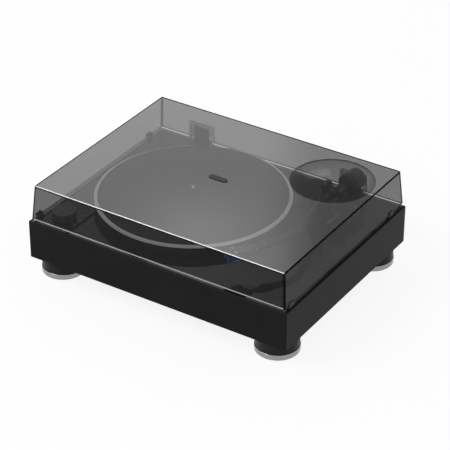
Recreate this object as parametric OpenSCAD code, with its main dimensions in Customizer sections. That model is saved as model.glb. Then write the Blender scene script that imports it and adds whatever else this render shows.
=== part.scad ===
// Turntable with an S-shaped arm, a belt drive and a smoked dust cover, in millimetres.
// The origin is on the floor under the middle of the plinth, +X right, +Y to the back, +Z up.

/* [Plinth] */
// Width of the plinth, left to right
plinth_w = 450; // [440:1:480]
// Depth of the plinth, front to back
plinth_d = 344; // [340:1:370]
// Height of the plinth without its feet
plinth_h = 63; // [60:1:80]
// Thickness of the deck
deck_t = 16; // [13:1:18]
// Thickness of the side walls
plinth_wall = 12; // [10:1:14]
// Thickness of the bottom cover
bottom_t = 4; // [3:0.5:5]
// Side of the square blocks that take the feet
corner_block = 50; // [46:1:54]
// Bevel along the plinth's outer edges
edge_bevel = 0.8; // [0.4:0.1:2]

/* [Feet] */
// Height of a foot
foot_h = 28; // [22:1:34]
// Diameter of a foot
foot_d = 67; // [56:1:68]
// Height of the bright band round a foot
foot_band_h = 9.7; // [6:0.1:12]
// Distance from a foot's centre to the plinth's sides
foot_inset = 35.3; // [35:0.1:38]
// Diameter of a foot's stud
foot_stud_d = 8; // [6:0.5:10]

/* [Platter] */
// Distance from the spindle to the plinth's left side
spindle_from_left = 178.5; // [176:0.5:184]
// Distance from the spindle to the plinth's front
spindle_from_front = 175; // [172:0.5:180]
// Diameter of the platter
platter_d = 300; // [290:1:304]
// Height of the platter's rim
platter_h = 17.4; // [16:0.1:22]
// Gap between the platter and the deck
platter_gap = 1; // [0.8:0.1:3]
// Width of the bright bevel on the platter's edge
platter_bevel_w = 5.6; // [3:0.1:8]
// Height of the bright bevel on the platter's edge
platter_bevel_h = 2.4; // [1:0.1:4]
// Thickness of the mat
mat_t = 3; // [2:0.1:4]
// How far the mat stands above the platter's edge
mat_proud = 0.8; // [0.2:0.1:1.2]
// Diameter of the spindle where the record sits
record_pin_d = 7.1; // [6.9:0.1:7.2]
// Height of the spindle's tip above the mat
record_pin_h = 12.8; // [10:0.1:16]

/* [Drive] */
// Diameter of the spindle's shaft in its bearing
shaft_d = 8; // [7.6:0.1:10]
// Diameter of the inner platter that the belt runs on
inner_platter_d = 160; // [140:1:170]
// Diameter of the motor's pulley
pulley_d = 14; // [10:0.5:18]
// Distance from the spindle to the motor
motor_reach = 112; // [108:1:116]
// Direction of the motor from the spindle, in degrees
motor_angle = 215; // [200:1:230]
// Height of the flat belt
belt_h = 5; // [3:0.5:5.5]
// Thickness of the belt
belt_t = 1; // [0.6:0.1:1.4]
// Diameter of the motor's can
motor_d = 32; // [28:1:36]
// Height of the motor's can
motor_h = 24; // [20:1:28]

/* [Speed control] */
// Distance from the knob's centre to the plinth's left side
knob_from_left = 38; // [36:0.5:40]
// Distance from the knob's centre to the plinth's front
knob_from_front = 39; // [37:0.5:41]
// Diameter of the speed knob
knob_d = 37; // [30:0.5:38]
// Height of the speed knob
knob_h = 12; // [10:0.5:16]

/* [Arm] */
// Distance from the arm's pivot to the plinth's right side
pivot_from_side = 78.5; // [76:0.5:84]
// Distance from the arm's pivot to the plinth's back
pivot_from_rear = 78.5; // [77:0.5:84]
// Height of the arm tube's axis above the deck
arm_axis_h = 38; // [36:0.5:40]
// Diameter of the arm tube
tube_d = 10; // [8:0.5:10.5]
// Distance from the pivot to the stylus
arm_length = 231; // [228:0.5:234]
// Length of the straight run in front of the pivot
first_run = 34; // [32:0.5:38]
// Radius of the bend near the pivot
first_bend_r = 50; // [40:1:60]
// Radius of the bend near the headshell
second_bend_r = 45; // [35:1:50]
// Length of the headshell's plate
shell_plate_l = 33; // [30:0.5:36]
// Width of the headshell's plate
shell_w = 17; // [16:0.5:20]
// Distance from the arm tube's end to the cartridge screws
shell_reach = 45; // [44:0.5:48]
// Distance between the two cartridge screws
screw_spacing = 12.7; // [12.5:0.1:12.8]
// Height of the cartridge and its stylus
cartridge_h = 15.5; // [14:0.1:16]
// Diameter of the counterweight
weight_d = 32; // [26:0.5:32]
// Length of the counterweight
weight_l = 22; // [16:0.5:24]
// Distance from the pivot to the middle of the counterweight
weight_reach = 45; // [43:0.5:47]

/* [Arm base] */
// Diameter of the plate under the arm
base_plate_d = 76; // [72:1:80]
// Thickness of the plate under the arm
base_plate_t = 3; // [2:0.5:4]
// Diameter of the height ring
height_ring_d = 54; // [48:1:56]
// Height of the height ring
height_ring_h = 10; // [8:0.5:10]
// Thickness of the raised arm board
board_t = 4; // [3:0.5:5]

/* [Cover] */
// Height of the dust cover, without its bubble
cover_h = 56.5; // [55:0.5:80]
// Thickness of the cover's walls
cover_t = 3; // [2:0.5:3]
// Gap between the cover and the deck
cover_gap = 4; // [3.5:0.5:6]
// Inset of the cover from the plinth's sides
cover_inset_side = 4.6; // [4:0.1:6]
// Inset of the cover from the plinth's front
cover_inset_front = 3; // [2:0.1:6]
// Inset of the cover from the plinth's back
cover_inset_rear = 1; // [0.8:0.1:1.2]
// How far the walls lean in at the top
cover_lean = 4.6; // [3:0.1:5]
// Diameter of the bubble above the arm's pivot
bubble_d = 128; // [110:1:130]
// Height of the bubble
bubble_h = 15; // [8:0.5:18]
// Length of the plain plate on the cover
cover_plate_w = 32; // [20:1:60]

/* [Rear panel] */
// Width of the window in the plinth's back
window_w = 110; // [100:1:120]
// Height of the window in the plinth's back
window_h = 26; // [22:0.5:27]
// Distance between the two output sockets
socket_spacing = 18; // [16:0.5:20]
// Diameter of an output socket
socket_d = 8.3; // [8.1:0.1:8.5]

/* [Hidden] */
$fn = 96;

// Shared clearances
cut = 1;           // overrun of a cut past a face
run_fit = 0.05;    // radial clearance of a shaft in its bore
seat_fit = 0.02;   // radial clearance of a piece that stays on its seat
panel_fit = 0.5;   // gap round a panel in its frame
move_gap = 0.4;    // gap between pieces that move past each other

// Levels, from the floor up
plinth_z = foot_h;
cavity_z = plinth_z + plinth_h - deck_t;
deck_z = plinth_z + plinth_h;
cover_z = deck_z + cover_gap;
cover_top_z = cover_z + cover_h;
platter_z = deck_z + platter_gap;
platter_top_z = platter_z + platter_h;
mat_top_z = platter_top_z + mat_proud;
mat_z = mat_top_z - mat_t;
arm_z = deck_z + arm_axis_h;

// Places on the deck
spindle_xy = [spindle_from_left - plinth_w/2, spindle_from_front - plinth_d/2];
knob_xy = [knob_from_left - plinth_w/2, knob_from_front - plinth_d/2];
pivot_xy = [plinth_w/2 - pivot_from_side, plinth_d/2 - pivot_from_rear];
motor_xy = spindle_xy + motor_reach*[cos(motor_angle), sin(motor_angle)];
foot_xy = [plinth_w/2 - foot_inset, plinth_d/2 - foot_inset];
inner_w = plinth_w - 2*plinth_wall;
inner_d = plinth_d - 2*plinth_wall;

// Screws
screw_r = 1.5;
screw_head_r = 3;
screw_head_h = 2;
screw_l = 9;
ring_screws = 3;

module at_xy(p, z = 0) {
  translate([p[0], p[1], z]) children();
}

module ring_places(r, count, turn = 0) {
  for (i = [0:count - 1]) {
    rotate([0, 0, turn + 360*i/count]) translate([r, 0, 0]) children();
  }
}

module tube(r, bore_r, h) {
  difference() {
    cylinder(r = r, h = h);
    translate([0, 0, -cut]) cylinder(r = bore_r, h = h + 2*cut);
  }
}

// A screw with its head down and its shank up
module screw(l = screw_l) {
  cylinder(r = screw_head_r, h = screw_head_h);
  translate([0, 0, screw_head_h]) cylinder(r = screw_r, h = l);
}

function bevelled(w, h, c) = [
  [c - w/2, -h/2], [w/2 - c, -h/2], [w/2, c - h/2], [w/2, h/2 - c],
  [w/2 - c, h/2], [c - w/2, h/2], [-w/2, h/2 - c], [-w/2, c - h/2]
];

// A box with all its edges bevelled, centred on its base
module bevelled_box(w, d, h, c) {
  translate([0, 0, h/2]) intersection() {
    translate([0, 0, -h/2]) linear_extrude(height = h) polygon(bevelled(w, d, c));
    translate([0, d/2, 0]) rotate([90, 0, 0]) linear_extrude(height = d) polygon(bevelled(w, h, c));
    translate([-w/2, 0, 0]) rotate([90, 0, 90]) linear_extrude(height = w) polygon(bevelled(d, h, c));
  }
}

// A flat bar with round ends between two points
module bar(p, q, r, h) {
  d = q - p;
  at_xy(p) cylinder(r = r, h = h);
  at_xy(q) cylinder(r = r, h = h);
  at_xy(p) rotate([0, 0, atan2(d[1], d[0])]) translate([0, -r, 0]) cube([norm(d), 2*r, h]);
}

// Plinth, bottom cover and feet
mid_block_w = 30;
mid_block_d = 18;
stud_l = 26;
corner_block_h = 27;
stud_hole_l = stud_l + 2*cut;
foot_groove = 0.8;
foot_pad_inset = 4;
foot_pad_h = 1;
bottom_screw_inset = 7;
bottom_corner = corner_block - bottom_screw_inset;
bottom_screw_xy = [inner_w/2 - bottom_corner, inner_d/2 - bottom_corner];
bottom_places = [for (x = [-1, 1], y = [-1, 1]) [x*bottom_screw_xy[0], y*bottom_screw_xy[1]]];
bottom_mid_places = [for (y = [-1, 1]) [0, y*(inner_d - mid_block_d)/2]];

module feet_places() {
  for (x = [-1, 1], y = [-1, 1]) {
    at_xy([x*foot_xy[0], y*foot_xy[1]]) children();
  }
}

module bottom_screw_places() {
  for (p = concat(bottom_places, bottom_mid_places)) {
    at_xy(p, plinth_z) children();
  }
}

module plinth_blocks() {
  block_z = plinth_z + bottom_t;
  block_h = cavity_z - block_z + cut;
  side = corner_block + cut;
  for (x = [-1, 1], y = [-1, 1]) {
    translate([x*(inner_w - side + 2*cut)/2, y*(inner_d - side + 2*cut)/2, block_z + corner_block_h/2])
      cube([side, side, corner_block_h], center = true);
  }
  for (y = [-1, 1]) {
    translate([0, y*(inner_d - mid_block_d + cut)/2, block_z + block_h/2])
      cube([mid_block_w, mid_block_d + cut, block_h], center = true);
  }
}

module plinth() {
  color([0.03, 0.03, 0.035])
  difference() {
    union() {
      difference() {
        translate([0, 0, plinth_z]) bevelled_box(plinth_w, plinth_d, plinth_h, edge_bevel);
        translate([-inner_w/2, -inner_d/2, plinth_z - cut])
          cube([inner_w, inner_d, plinth_h - deck_t + cut]);
      }
      plinth_blocks();
    }
    feet_places() translate([0, 0, plinth_z]) cylinder(r = foot_stud_d/2 + run_fit, h = stud_hole_l);
    bottom_screw_places() cylinder(r = screw_r + seat_fit, h = bottom_t + screw_l + cut);
    at_xy(spindle_xy, cavity_z - cut) cylinder(r = bearing_r + seat_fit, h = deck_t + 2*cut);
    at_xy(spindle_xy, cavity_z) ring_places(bearing_screw_ring, ring_screws)
      cylinder(r = screw_r + seat_fit, h = screw_l);
    at_xy(motor_xy, cavity_z - cut) cylinder(r = motor_hole_r, h = deck_t + 2*cut);
    at_xy(motor_xy, cavity_z) ring_places(motor_screw_ring, ring_screws)
      cylinder(r = screw_r + seat_fit, h = screw_l);
    at_xy(knob_xy, cavity_z - cut) cylinder(r = bush_r + seat_fit, h = deck_t + 2*cut);
    at_xy(pivot_xy, cavity_z - cut) cylinder(r = sleeve_r + seat_fit, h = deck_t + 2*cut);
    at_xy(pivot_xy, deck_z - screw_l) ring_places(base_screw_ring, ring_screws, base_screw_turn)
      cylinder(r = screw_r + seat_fit, h = screw_l + cut);
    hinge_places() translate([-hinge_w/2, hinge_plate_y, cavity_z + hinge_slot_floor])
      cube([hinge_w, hinge_plate_t, deck_t]);
    translate([window_x - window_w/2, inner_d/2 - cut, window_z - window_h/2])
      cube([window_w, plinth_wall + 2*cut, window_h]);
    panel_screw_places() along_y(screw_r + seat_fit, screw_l);
  }
}

module bottom_cover() {
  color([0.10, 0.10, 0.10])
  difference() {
    translate([panel_fit - inner_w/2, panel_fit - inner_d/2, plinth_z])
      cube([inner_w - 2*panel_fit, inner_d - 2*panel_fit, bottom_t]);
    feet_places() translate([0, 0, plinth_z - cut])
      cylinder(r = foot_stud_d/2 + panel_fit, h = bottom_t + 2*cut);
    bottom_screw_places() translate([0, 0, -cut]) {
      cylinder(r = screw_r + seat_fit, h = bottom_t + 2*cut);
      cylinder(r = screw_head_r + panel_fit, h = screw_head_h + cut);
    }
  }
}

module bottom_screws() {
  color("silver") bottom_screw_places() screw();
}

module foot() {
  r = foot_d/2;
  drum_z = foot_band_h + foot_groove;
  color([0.05, 0.05, 0.05]) {
    rotate_extrude() polygon([
      [0, 0], [r - foot_pad_inset, 0], [r - foot_pad_inset, foot_pad_h], [r - foot_groove, foot_pad_h],
      [r, foot_pad_h + foot_groove], [r, foot_band_h - foot_groove/2], [r - foot_groove/2, foot_band_h],
      [r - 2*foot_groove, foot_band_h], [r - 2*foot_groove, drum_z], [r - foot_groove, drum_z],
      [r - foot_groove, foot_h], [0, foot_h]
    ]);
    translate([0, 0, foot_h]) cylinder(r = foot_stud_d/2, h = stud_l);
  }
}

module foot_front_left() { at_xy([-foot_xy[0], -foot_xy[1]]) foot(); }
module foot_front_right() { at_xy([foot_xy[0], -foot_xy[1]]) foot(); }
module foot_rear_left() { at_xy([-foot_xy[0], foot_xy[1]]) foot(); }
module foot_rear_right() { at_xy([foot_xy[0], foot_xy[1]]) foot(); }

// Bearing, motor, belt and platter
bearing_r = 11;
bearing_flange_r = 24;
bearing_flange_t = 5;
bearing_floor_t = 4;
bearing_l = 36;
bearing_top_z = deck_z + platter_gap/2;
bearing_z = cavity_z - bearing_l;
thrust_pad_t = 2;
bearing_screw_ring = 18;
shaft_r = shaft_d/2;
shaft_z = bearing_z + bearing_floor_t + thrust_pad_t;
shoulder_drop = 2.5;
mat_hole_r = 5.5;
web_t = 5.7;
web_z = mat_z - web_t;
inner_platter_z = platter_z + platter_gap;
inner_platter_h = web_z - inner_platter_z;
inner_web_t = 3;
inner_rim_t = 8;
inner_hub_r = 14;
platter_rim_t = 12;
belt_z = inner_platter_z + (inner_platter_h - belt_h)/2;
motor_hole_r = 7;
motor_flange_r = 24;
motor_flange_t = 2;
motor_screw_ring = 20;
motor_shaft_r = 1.5;
pulley_flange = 1.4;
pulley_flange_t = 1;

module bearing_housing() {
  color([0.72, 0.6, 0.3])
  at_xy(spindle_xy) difference() {
    union() {
      translate([0, 0, bearing_z]) cylinder(r = bearing_r, h = bearing_top_z - bearing_z);
      translate([0, 0, cavity_z - bearing_flange_t]) cylinder(r = bearing_flange_r, h = bearing_flange_t);
    }
    translate([0, 0, bearing_z + bearing_floor_t])
      cylinder(r = shaft_r + run_fit, h = bearing_top_z - bearing_z);
    translate([0, 0, cavity_z - bearing_flange_t - cut]) ring_places(bearing_screw_ring, ring_screws)
      cylinder(r = screw_r + seat_fit, h = bearing_flange_t + 2*cut);
  }
}

module thrust_pad() {
  color("white") at_xy(spindle_xy, bearing_z + bearing_floor_t)
    cylinder(r = shaft_r - seat_fit, h = thrust_pad_t);
}

module machine_screws() {
  color("silver") {
    at_xy(spindle_xy, cavity_z - bearing_flange_t - screw_head_h)
      ring_places(bearing_screw_ring, ring_screws) screw();
    at_xy(motor_xy, cavity_z - motor_flange_t - screw_head_h)
      ring_places(motor_screw_ring, ring_screws) screw();
    panel_screw_places() translate([0, -screw_head_h, 0]) rotate([-90, 0, 0]) screw();
  }
}

module motor() {
  color([0.55, 0.56, 0.58])
  at_xy(motor_xy) difference() {
    union() {
      translate([0, 0, cavity_z - motor_h]) cylinder(r = motor_d/2, h = motor_h);
      translate([0, 0, cavity_z - motor_flange_t]) cylinder(r = motor_flange_r, h = motor_flange_t);
    }
    translate([0, 0, cavity_z - motor_h + motor_flange_t])
      cylinder(r = motor_shaft_r + run_fit, h = motor_h);
    translate([0, 0, cavity_z - motor_flange_t - cut]) ring_places(motor_screw_ring, ring_screws)
      cylinder(r = screw_r + seat_fit, h = motor_flange_t + 2*cut);
  }
}

module motor_pulley() {
  flange_r = pulley_d/2 + pulley_flange;
  color([0.8, 0.68, 0.35])
  at_xy(motor_xy) {
    translate([0, 0, cavity_z - motor_h + motor_flange_t + move_gap])
      cylinder(r = motor_shaft_r, h = belt_z + belt_h - cavity_z + motor_h - motor_flange_t);
    translate([0, 0, belt_z - move_gap]) cylinder(r = pulley_d/2, h = belt_h + 2*move_gap);
    translate([0, 0, belt_z + belt_h + move_gap]) cylinder(r = flange_r, h = pulley_flange_t);
    translate([0, 0, belt_z - move_gap - pulley_flange_t]) cylinder(r = flange_r, h = pulley_flange_t);
  }
}

// Outline of a loop round the inner platter and the pulley, with straight runs that touch both circles
module loop_shape(extra) {
  big_r = inner_platter_d/2 + extra;
  small_r = pulley_d/2 + extra;
  spread = acos((big_r - small_r)/motor_reach);
  far = [motor_reach, 0];
  side = [cos(spread), sin(spread)];
  flip = [cos(spread), -sin(spread)];
  circle(r = big_r);
  translate(far) circle(r = small_r);
  polygon([big_r*side, big_r*flip, far + small_r*flip, far + small_r*side]);
}

module drive_belt() {
  color([0.08, 0.08, 0.08])
  at_xy(spindle_xy, belt_z) rotate([0, 0, motor_angle]) difference() {
    linear_extrude(height = belt_h) loop_shape(run_fit + belt_t);
    translate([0, 0, -cut]) linear_extrude(height = belt_h + 2*cut) loop_shape(run_fit);
  }
}

module spindle() {
  pin_r = record_pin_d/2;
  shoulder_z = mat_top_z - shoulder_drop;
  color([0.8, 0.8, 0.82])
  at_xy(spindle_xy) {
    translate([0, 0, shaft_z]) cylinder(r = shaft_r, h = shoulder_z - shaft_z);
    translate([0, 0, shoulder_z]) cylinder(r = pin_r, h = mat_top_z + record_pin_h - pin_r - shoulder_z);
    translate([0, 0, mat_top_z + record_pin_h - pin_r]) intersection() {
      sphere(r = pin_r);
      cylinder(r = pin_r + cut, h = pin_r + cut);
    }
  }
}

module inner_platter() {
  r = inner_platter_d/2;
  bore_r = shaft_r + seat_fit;
  h = inner_platter_h;
  color([0.3, 0.3, 0.32])
  at_xy(spindle_xy, inner_platter_z) rotate_extrude() polygon([
    [bore_r, 0], [inner_hub_r, 0], [inner_hub_r, h - inner_web_t], [r - inner_rim_t, h - inner_web_t],
    [r - inner_rim_t, 0], [r, 0], [r, h], [bore_r, h]
  ]);
}

module platter() {
  r = platter_d/2;
  mat_r = r - platter_bevel_w;
  bore_r = shaft_r + seat_fit;
  color([0.05, 0.05, 0.055])
  at_xy(spindle_xy) rotate_extrude() polygon([
    [bore_r, web_z], [r - platter_rim_t, web_z], [r - platter_rim_t, platter_z],
    [r - foot_groove, platter_z], [r, platter_z + foot_groove], [r, platter_top_z - platter_bevel_h],
    [mat_r, platter_top_z], [mat_r, mat_z], [bore_r, mat_z]
  ]);
}

module platter_mat() {
  r = platter_d/2 - platter_bevel_w - move_gap;
  color([0.16, 0.16, 0.165])
  at_xy(spindle_xy, mat_z) rotate_extrude() polygon([
    [mat_hole_r, 0], [r, 0], [r, mat_t - move_gap], [r - move_gap, mat_t], [mat_hole_r, mat_t]
  ]);
}

// Speed knob and its switch
bush_r = 5;
switch_side = 26;
switch_h = 14;
switch_shaft_r = 3;
switch_shaft_sink = 8;
knob_shell_t = 3;
knob_bevel = 0.8;

module speed_switch() {
  color([0.2, 0.35, 0.25])
  at_xy(knob_xy) difference() {
    union() {
      translate([-switch_side/2, -switch_side/2, cavity_z - switch_h])
        cube([switch_side, switch_side, switch_h]);
      translate([0, 0, cavity_z]) cylinder(r = bush_r, h = deck_t);
    }
    translate([0, 0, cavity_z - switch_shaft_sink])
      cylinder(r = switch_shaft_r + run_fit, h = deck_t + 2*switch_shaft_sink);
  }
}

module switch_shaft() {
  color("silver") at_xy(knob_xy, cavity_z - switch_shaft_sink)
    cylinder(r = switch_shaft_r, h = deck_t + switch_shaft_sink + knob_h - knob_shell_t);
}

module speed_knob() {
  r = knob_d/2;
  bore_r = switch_shaft_r + seat_fit;
  top = knob_h + move_gap;
  roof = top - knob_shell_t;
  color([0.06, 0.06, 0.065])
  at_xy(knob_xy, deck_z) rotate_extrude() polygon([
    [0, top], [0, roof], [bore_r, roof], [bore_r, move_gap], [bore_r + knob_shell_t, move_gap],
    [bore_r + knob_shell_t, roof], [r - knob_shell_t, roof], [r - knob_shell_t, move_gap], [r, move_gap],
    [r, top - knob_bevel], [r - knob_bevel, top]
  ]);
}

// Rear panel and what is on it
panel_t = 3;
panel_lip = 7;
panel_screw_inset = 4;
window_from_left = 130;
window_x = window_from_left - plinth_w/2;
window_z = (plinth_z + bottom_t + cavity_z)/2;
panel_y = inner_d/2 - panel_t;
panel_w = window_w + 2*panel_lip;
panel_h = window_h + 2*panel_lip;
socket_x = window_x + window_w/2 - socket_spacing;
ground_x = socket_x - 2*socket_spacing;
line_switch_reach = 25.2;
line_switch_x = ground_x - line_switch_reach;
inlet_reach = 18;
inlet_x = line_switch_x - inlet_reach;
jack_drop = 3.25;
jack_z = window_z - jack_drop;
socket_l = 9;
socket_hole_r = 1.65;
socket_nut_r = 6;
socket_nut_t = 2.5;
ground_post_r = 2;
ground_post_l = 10;
ground_nut_r = 5;
ground_nut_t = 4;
nut_grips = 12;
nut_grip_r = 0.8;
inlet_w = 12;
inlet_h = 11;
inlet_l = 14;
inlet_hole_r = 2.75;
inlet_pin_r = 1;
inlet_lip = 1.5;
slider_w = 4;
slider_h = 5;
slider_l = 4;
slider_travel = 4;

module panel_screw_places() {
  side = panel_w/2 - panel_screw_inset;
  rise = panel_h/2 - panel_screw_inset;
  for (x = [-1, 1], z = [-1, 1]) {
    translate([window_x + x*side, panel_y, window_z + z*rise]) children();
  }
}

module along_y(r, l) {
  rotate([-90, 0, 0]) cylinder(r = r, h = l);
}

module rear_panel() {
  slot_w = slider_w + slider_travel + 2*panel_fit;
  slot_h = slider_h + 2*panel_fit;
  color([0.06, 0.06, 0.06])
  difference() {
    translate([window_x - panel_w/2, panel_y, window_z - panel_h/2]) cube([panel_w, panel_t, panel_h]);
    for (x = [socket_x, socket_x - socket_spacing]) {
      translate([x, panel_y - cut, jack_z]) along_y(socket_d/2 + seat_fit, panel_t + 2*cut);
    }
    translate([ground_x, panel_y - cut, jack_z]) along_y(ground_post_r + seat_fit, panel_t + 2*cut);
    translate([line_switch_x - slot_w/2, panel_y - cut, jack_z - slot_h/2])
      cube([slot_w, panel_t + 2*cut, slot_h]);
    translate([inlet_x - inlet_w/2, panel_y - cut, jack_z - inlet_h/2])
      cube([inlet_w, panel_t + 2*cut, inlet_h]);
    panel_screw_places() translate([0, -cut, 0]) along_y(screw_r + seat_fit, panel_t + 2*cut);
  }
}

module output_socket() {
  back_l = panel_t + 2*socket_nut_t;
  difference() {
    union() {
      translate([0, -back_l, 0]) along_y(socket_d/2, back_l + socket_l);
      along_y(socket_nut_r, socket_nut_t);
      translate([0, -back_l, 0]) along_y(socket_nut_r, socket_nut_t);
    }
    translate([0, -panel_t, 0]) along_y(socket_hole_r, panel_t + socket_l + cut);
  }
}

module output_sockets() {
  color([0.85, 0.7, 0.35])
  for (x = [socket_x, socket_x - socket_spacing]) {
    translate([x, inner_d/2, jack_z]) output_socket();
  }
}

module power_inlet() {
  color([0.05, 0.05, 0.05])
  translate([inlet_x, inner_d/2, jack_z]) {
    difference() {
      translate([-inlet_w/2, -inlet_l, -inlet_h/2]) cube([inlet_w, inlet_l + inlet_lip, inlet_h]);
      translate([0, panel_t - inlet_l, 0]) along_y(inlet_hole_r, inlet_l + inlet_lip);
    }
    translate([0, panel_t - inlet_l, 0]) along_y(inlet_pin_r, inlet_l - panel_t);
  }
}

module line_switch() {
  reach = panel_t + slider_l;
  color([0.9, 0.9, 0.9])
  translate([line_switch_x - (slider_w + slider_travel)/2, inner_d/2 - reach, jack_z - slider_h/2])
    cube([slider_w, reach + slider_l/2, slider_h]);
}

module ground_post() {
  color("silver") translate([ground_x, panel_y - panel_t, jack_z]) {
    along_y(ground_post_r, 2*panel_t + ground_post_l);
    along_y(2*ground_post_r, panel_t);
  }
}

module ground_nut() {
  color("gold") translate([ground_x, inner_d/2 + move_gap, jack_z]) rotate([-90, 0, 0])
    difference() {
      tube(ground_nut_r, ground_post_r + run_fit, ground_nut_t);
      translate([0, 0, -cut]) ring_places(ground_nut_r + nut_grip_r/2, nut_grips)
        cylinder(r = nut_grip_r, h = ground_nut_t + 2*cut);
    }
}

// Circuit board and its parts, on posts that stand on the bottom cover
board_w = 120;
board_d = 84;
pcb_t = 1.6;
post_h = 8;
post_r = 3;
post_inset = 6;
board_shift = 4;
board_back = 6;
board_left = window_x - board_shift - board_w/2;
board_front = inner_d/2 - panel_t - board_back - board_d;
board_xyz = [board_left, board_front, plinth_z + bottom_t + post_h];
capacitor_r = 5;
capacitor_h = 16;
capacitors = 4;
capacitor_pitch = 14;
chip_side = 14;
chip_h = 3;
relay_size = [18, 12, 12];
coil_r = 9;
coil_h = 10;

module main_board() {
  top = board_xyz[2] + pcb_t;
  left = board_xyz[0];
  front = board_xyz[1];
  color([0.1, 0.32, 0.16]) translate(board_xyz) cube([board_w, board_d, pcb_t]);
  color("silver")
  for (x = [post_inset, board_w - post_inset], y = [post_inset, board_d - post_inset]) {
    translate([left + x, front + y, plinth_z + bottom_t]) cylinder(r = post_r, h = post_h);
  }
  color([0.1, 0.12, 0.3])
  for (i = [0:capacitors - 1]) {
    translate([left + 2*capacitor_pitch + i*capacitor_pitch, front + capacitor_pitch, top])
      cylinder(r = capacitor_r, h = capacitor_h);
  }
  color([0.08, 0.08, 0.08]) {
    translate([left + board_w/2, front + board_d/2, top]) cube([chip_side, chip_side, chip_h]);
    translate([left + board_w/4, front + board_d/2, top]) cube(relay_size);
    translate([left + board_w - 2*coil_r, front + board_d/2, top]) cylinder(r = coil_r, h = coil_h);
  }
}

// Arm base, height ring and the raised board
sleeve_r = 19;
column_r = 15;
sleeve_l = 30;
base_screw_ring = 33;
base_screw_turn = 100;
ring_z = deck_z + base_plate_t;
board_z = ring_z + height_ring_h;
board_top_z = board_z + board_t;
column_z = deck_z - sleeve_l;
board_r = 27;
neck_share = 0.8;
yaw_shaft_r = 6;
yaw_shaft_z = deck_z;
ring_grips = 48;
ring_grip_r = 0.7;
lock_angle = -60;
lock_r = 4;
lock_h = 6;
lock_lever_l = 15;
lock_lever_w = 4;
lock_lever_t = 2.5;
lock_pin_r = 1.5;

module arm_base_plate() {
  color([0.12, 0.12, 0.125])
  at_xy(pivot_xy) difference() {
    union() {
      translate([0, 0, deck_z]) cylinder(r = base_plate_d/2, h = base_plate_t);
      translate([0, 0, column_z]) cylinder(r = sleeve_r, h = board_z - height_ring_h/2 - column_z);
    }
    translate([0, 0, column_z - cut]) cylinder(r = column_r + run_fit, h = board_z - column_z);
    translate([0, 0, deck_z - cut]) ring_places(base_screw_ring, ring_screws, base_screw_turn)
      cylinder(r = screw_r + seat_fit, h = base_plate_t + 2*cut);
    translate([0, 0, deck_z - cut]) rotate([0, 0, lock_angle]) translate([base_screw_ring, 0, 0])
      cylinder(r = lock_pin_r + run_fit, h = base_plate_t + 2*cut);
  }
}

module arm_base_screws() {
  color("silver") at_xy(pivot_xy, ring_z + screw_head_h)
    ring_places(base_screw_ring, ring_screws, base_screw_turn) mirror([0, 0, 1]) screw();
}

module height_lock() {
  color([0.2, 0.2, 0.2])
  at_xy(pivot_xy, ring_z) rotate([0, 0, lock_angle]) translate([base_screw_ring, 0, 0]) {
    cylinder(r = lock_r, h = lock_h);
    translate([0, 0, -base_plate_t]) cylinder(r = lock_pin_r, h = base_plate_t);
    translate([0, -lock_lever_w/2, lock_h - lock_lever_t]) cube([lock_lever_l, lock_lever_w, lock_lever_t]);
  }
}

module height_ring() {
  color([0.25, 0.25, 0.26])
  at_xy(pivot_xy, ring_z) difference() {
    tube(height_ring_d/2, sleeve_r + run_fit, height_ring_h);
    translate([0, 0, -cut]) ring_places(height_ring_d/2 + ring_grip_r/2, ring_grips)
      cylinder(r = ring_grip_r, h = height_ring_h + 2*cut, $fn = 16);
  }
}

// Headings seen from above, in degrees turned from the front towards the right
function heading(a) = [sin(a), -cos(a)];
tube_heading = -7;       // first run of the tube
bend_heading = 12.5;     // middle run
shell_heading = -33;     // headshell
rest_heading = -10.73;   // stylus seen from the pivot, on the arm rest

// How far a bend of radius r carries the tube while it turns from heading a to heading b
function turn(r, a, b) = (b > a ? r : -r)*[cos(a) - cos(b), sin(a) - sin(b)];

// The tube leaves the pivot, bends right and then left, and ends where the headshell begins
screw_ahead = 9.5;
bend_lap = 0.4;
stylus_xy = pivot_xy + arm_length*heading(rest_heading);
shell_screw_xy = stylus_xy - screw_ahead*heading(shell_heading);
tube_end = shell_screw_xy - shell_reach*heading(shell_heading);
first_arc = turn(first_bend_r, tube_heading, bend_heading);
second_arc = turn(second_bend_r, bend_heading, shell_heading);
rest_way = tube_end - pivot_xy - first_arc - second_arc - first_run*heading(tube_heading);
way_det = -sin(bend_heading - shell_heading);
middle_run = (-cos(shell_heading)*rest_way[0] - sin(shell_heading)*rest_way[1])/way_det;
last_run = (cos(bend_heading)*rest_way[0] + sin(bend_heading)*rest_way[1])/way_det;
bend_a = pivot_xy + first_run*heading(tube_heading);
bend_b = bend_a + first_arc;
bend_c = bend_b + middle_run*heading(bend_heading);
bend_d = bend_c + second_arc;

// What stands on the raised board
yaw_range = 40;
lift_r = 36;
lift_w = 6;
lift_t = 3;
lift_rod_r = 2;
lift_margin = 6;
lift_top_z = arm_z - tube_d/2 - move_gap;
lift_heading = tube_heading - yaw_range/2;
cue_xy = pivot_xy + lift_r*heading(lift_heading);
cue_r = 6;
cue_h = 9;
cue_board_r = 10;
rest_turn = 12;
rest_xy = bend_a + turn(first_bend_r, tube_heading, tube_heading + rest_turn);
rest_w = 12;
rest_d = 8;
rest_wall = 3;
rest_board_r = 10;
rest_wall_x = rest_xy[0] + tube_d/2 + 2*move_gap;
rest_top_z = arm_z - tube_d/2 - move_gap;
clip_pin_r = 1;
clip_r = 2.2;
clip_l = 12;
clip_t = 1.6;
clip_w = 5;
clip_z = arm_z + tube_d/2 + clip_t/2 + move_gap;
lever_place = [16.5, 32];
lever_xy = pivot_xy + [lever_place[0], -lever_place[1]];
lever_block_w = 9;
lever_block_d = 9;
lever_block_h = 12;
lever_shaft_r = 2.5;
lever_r = 1.8;
lever_l = 26;
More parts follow.
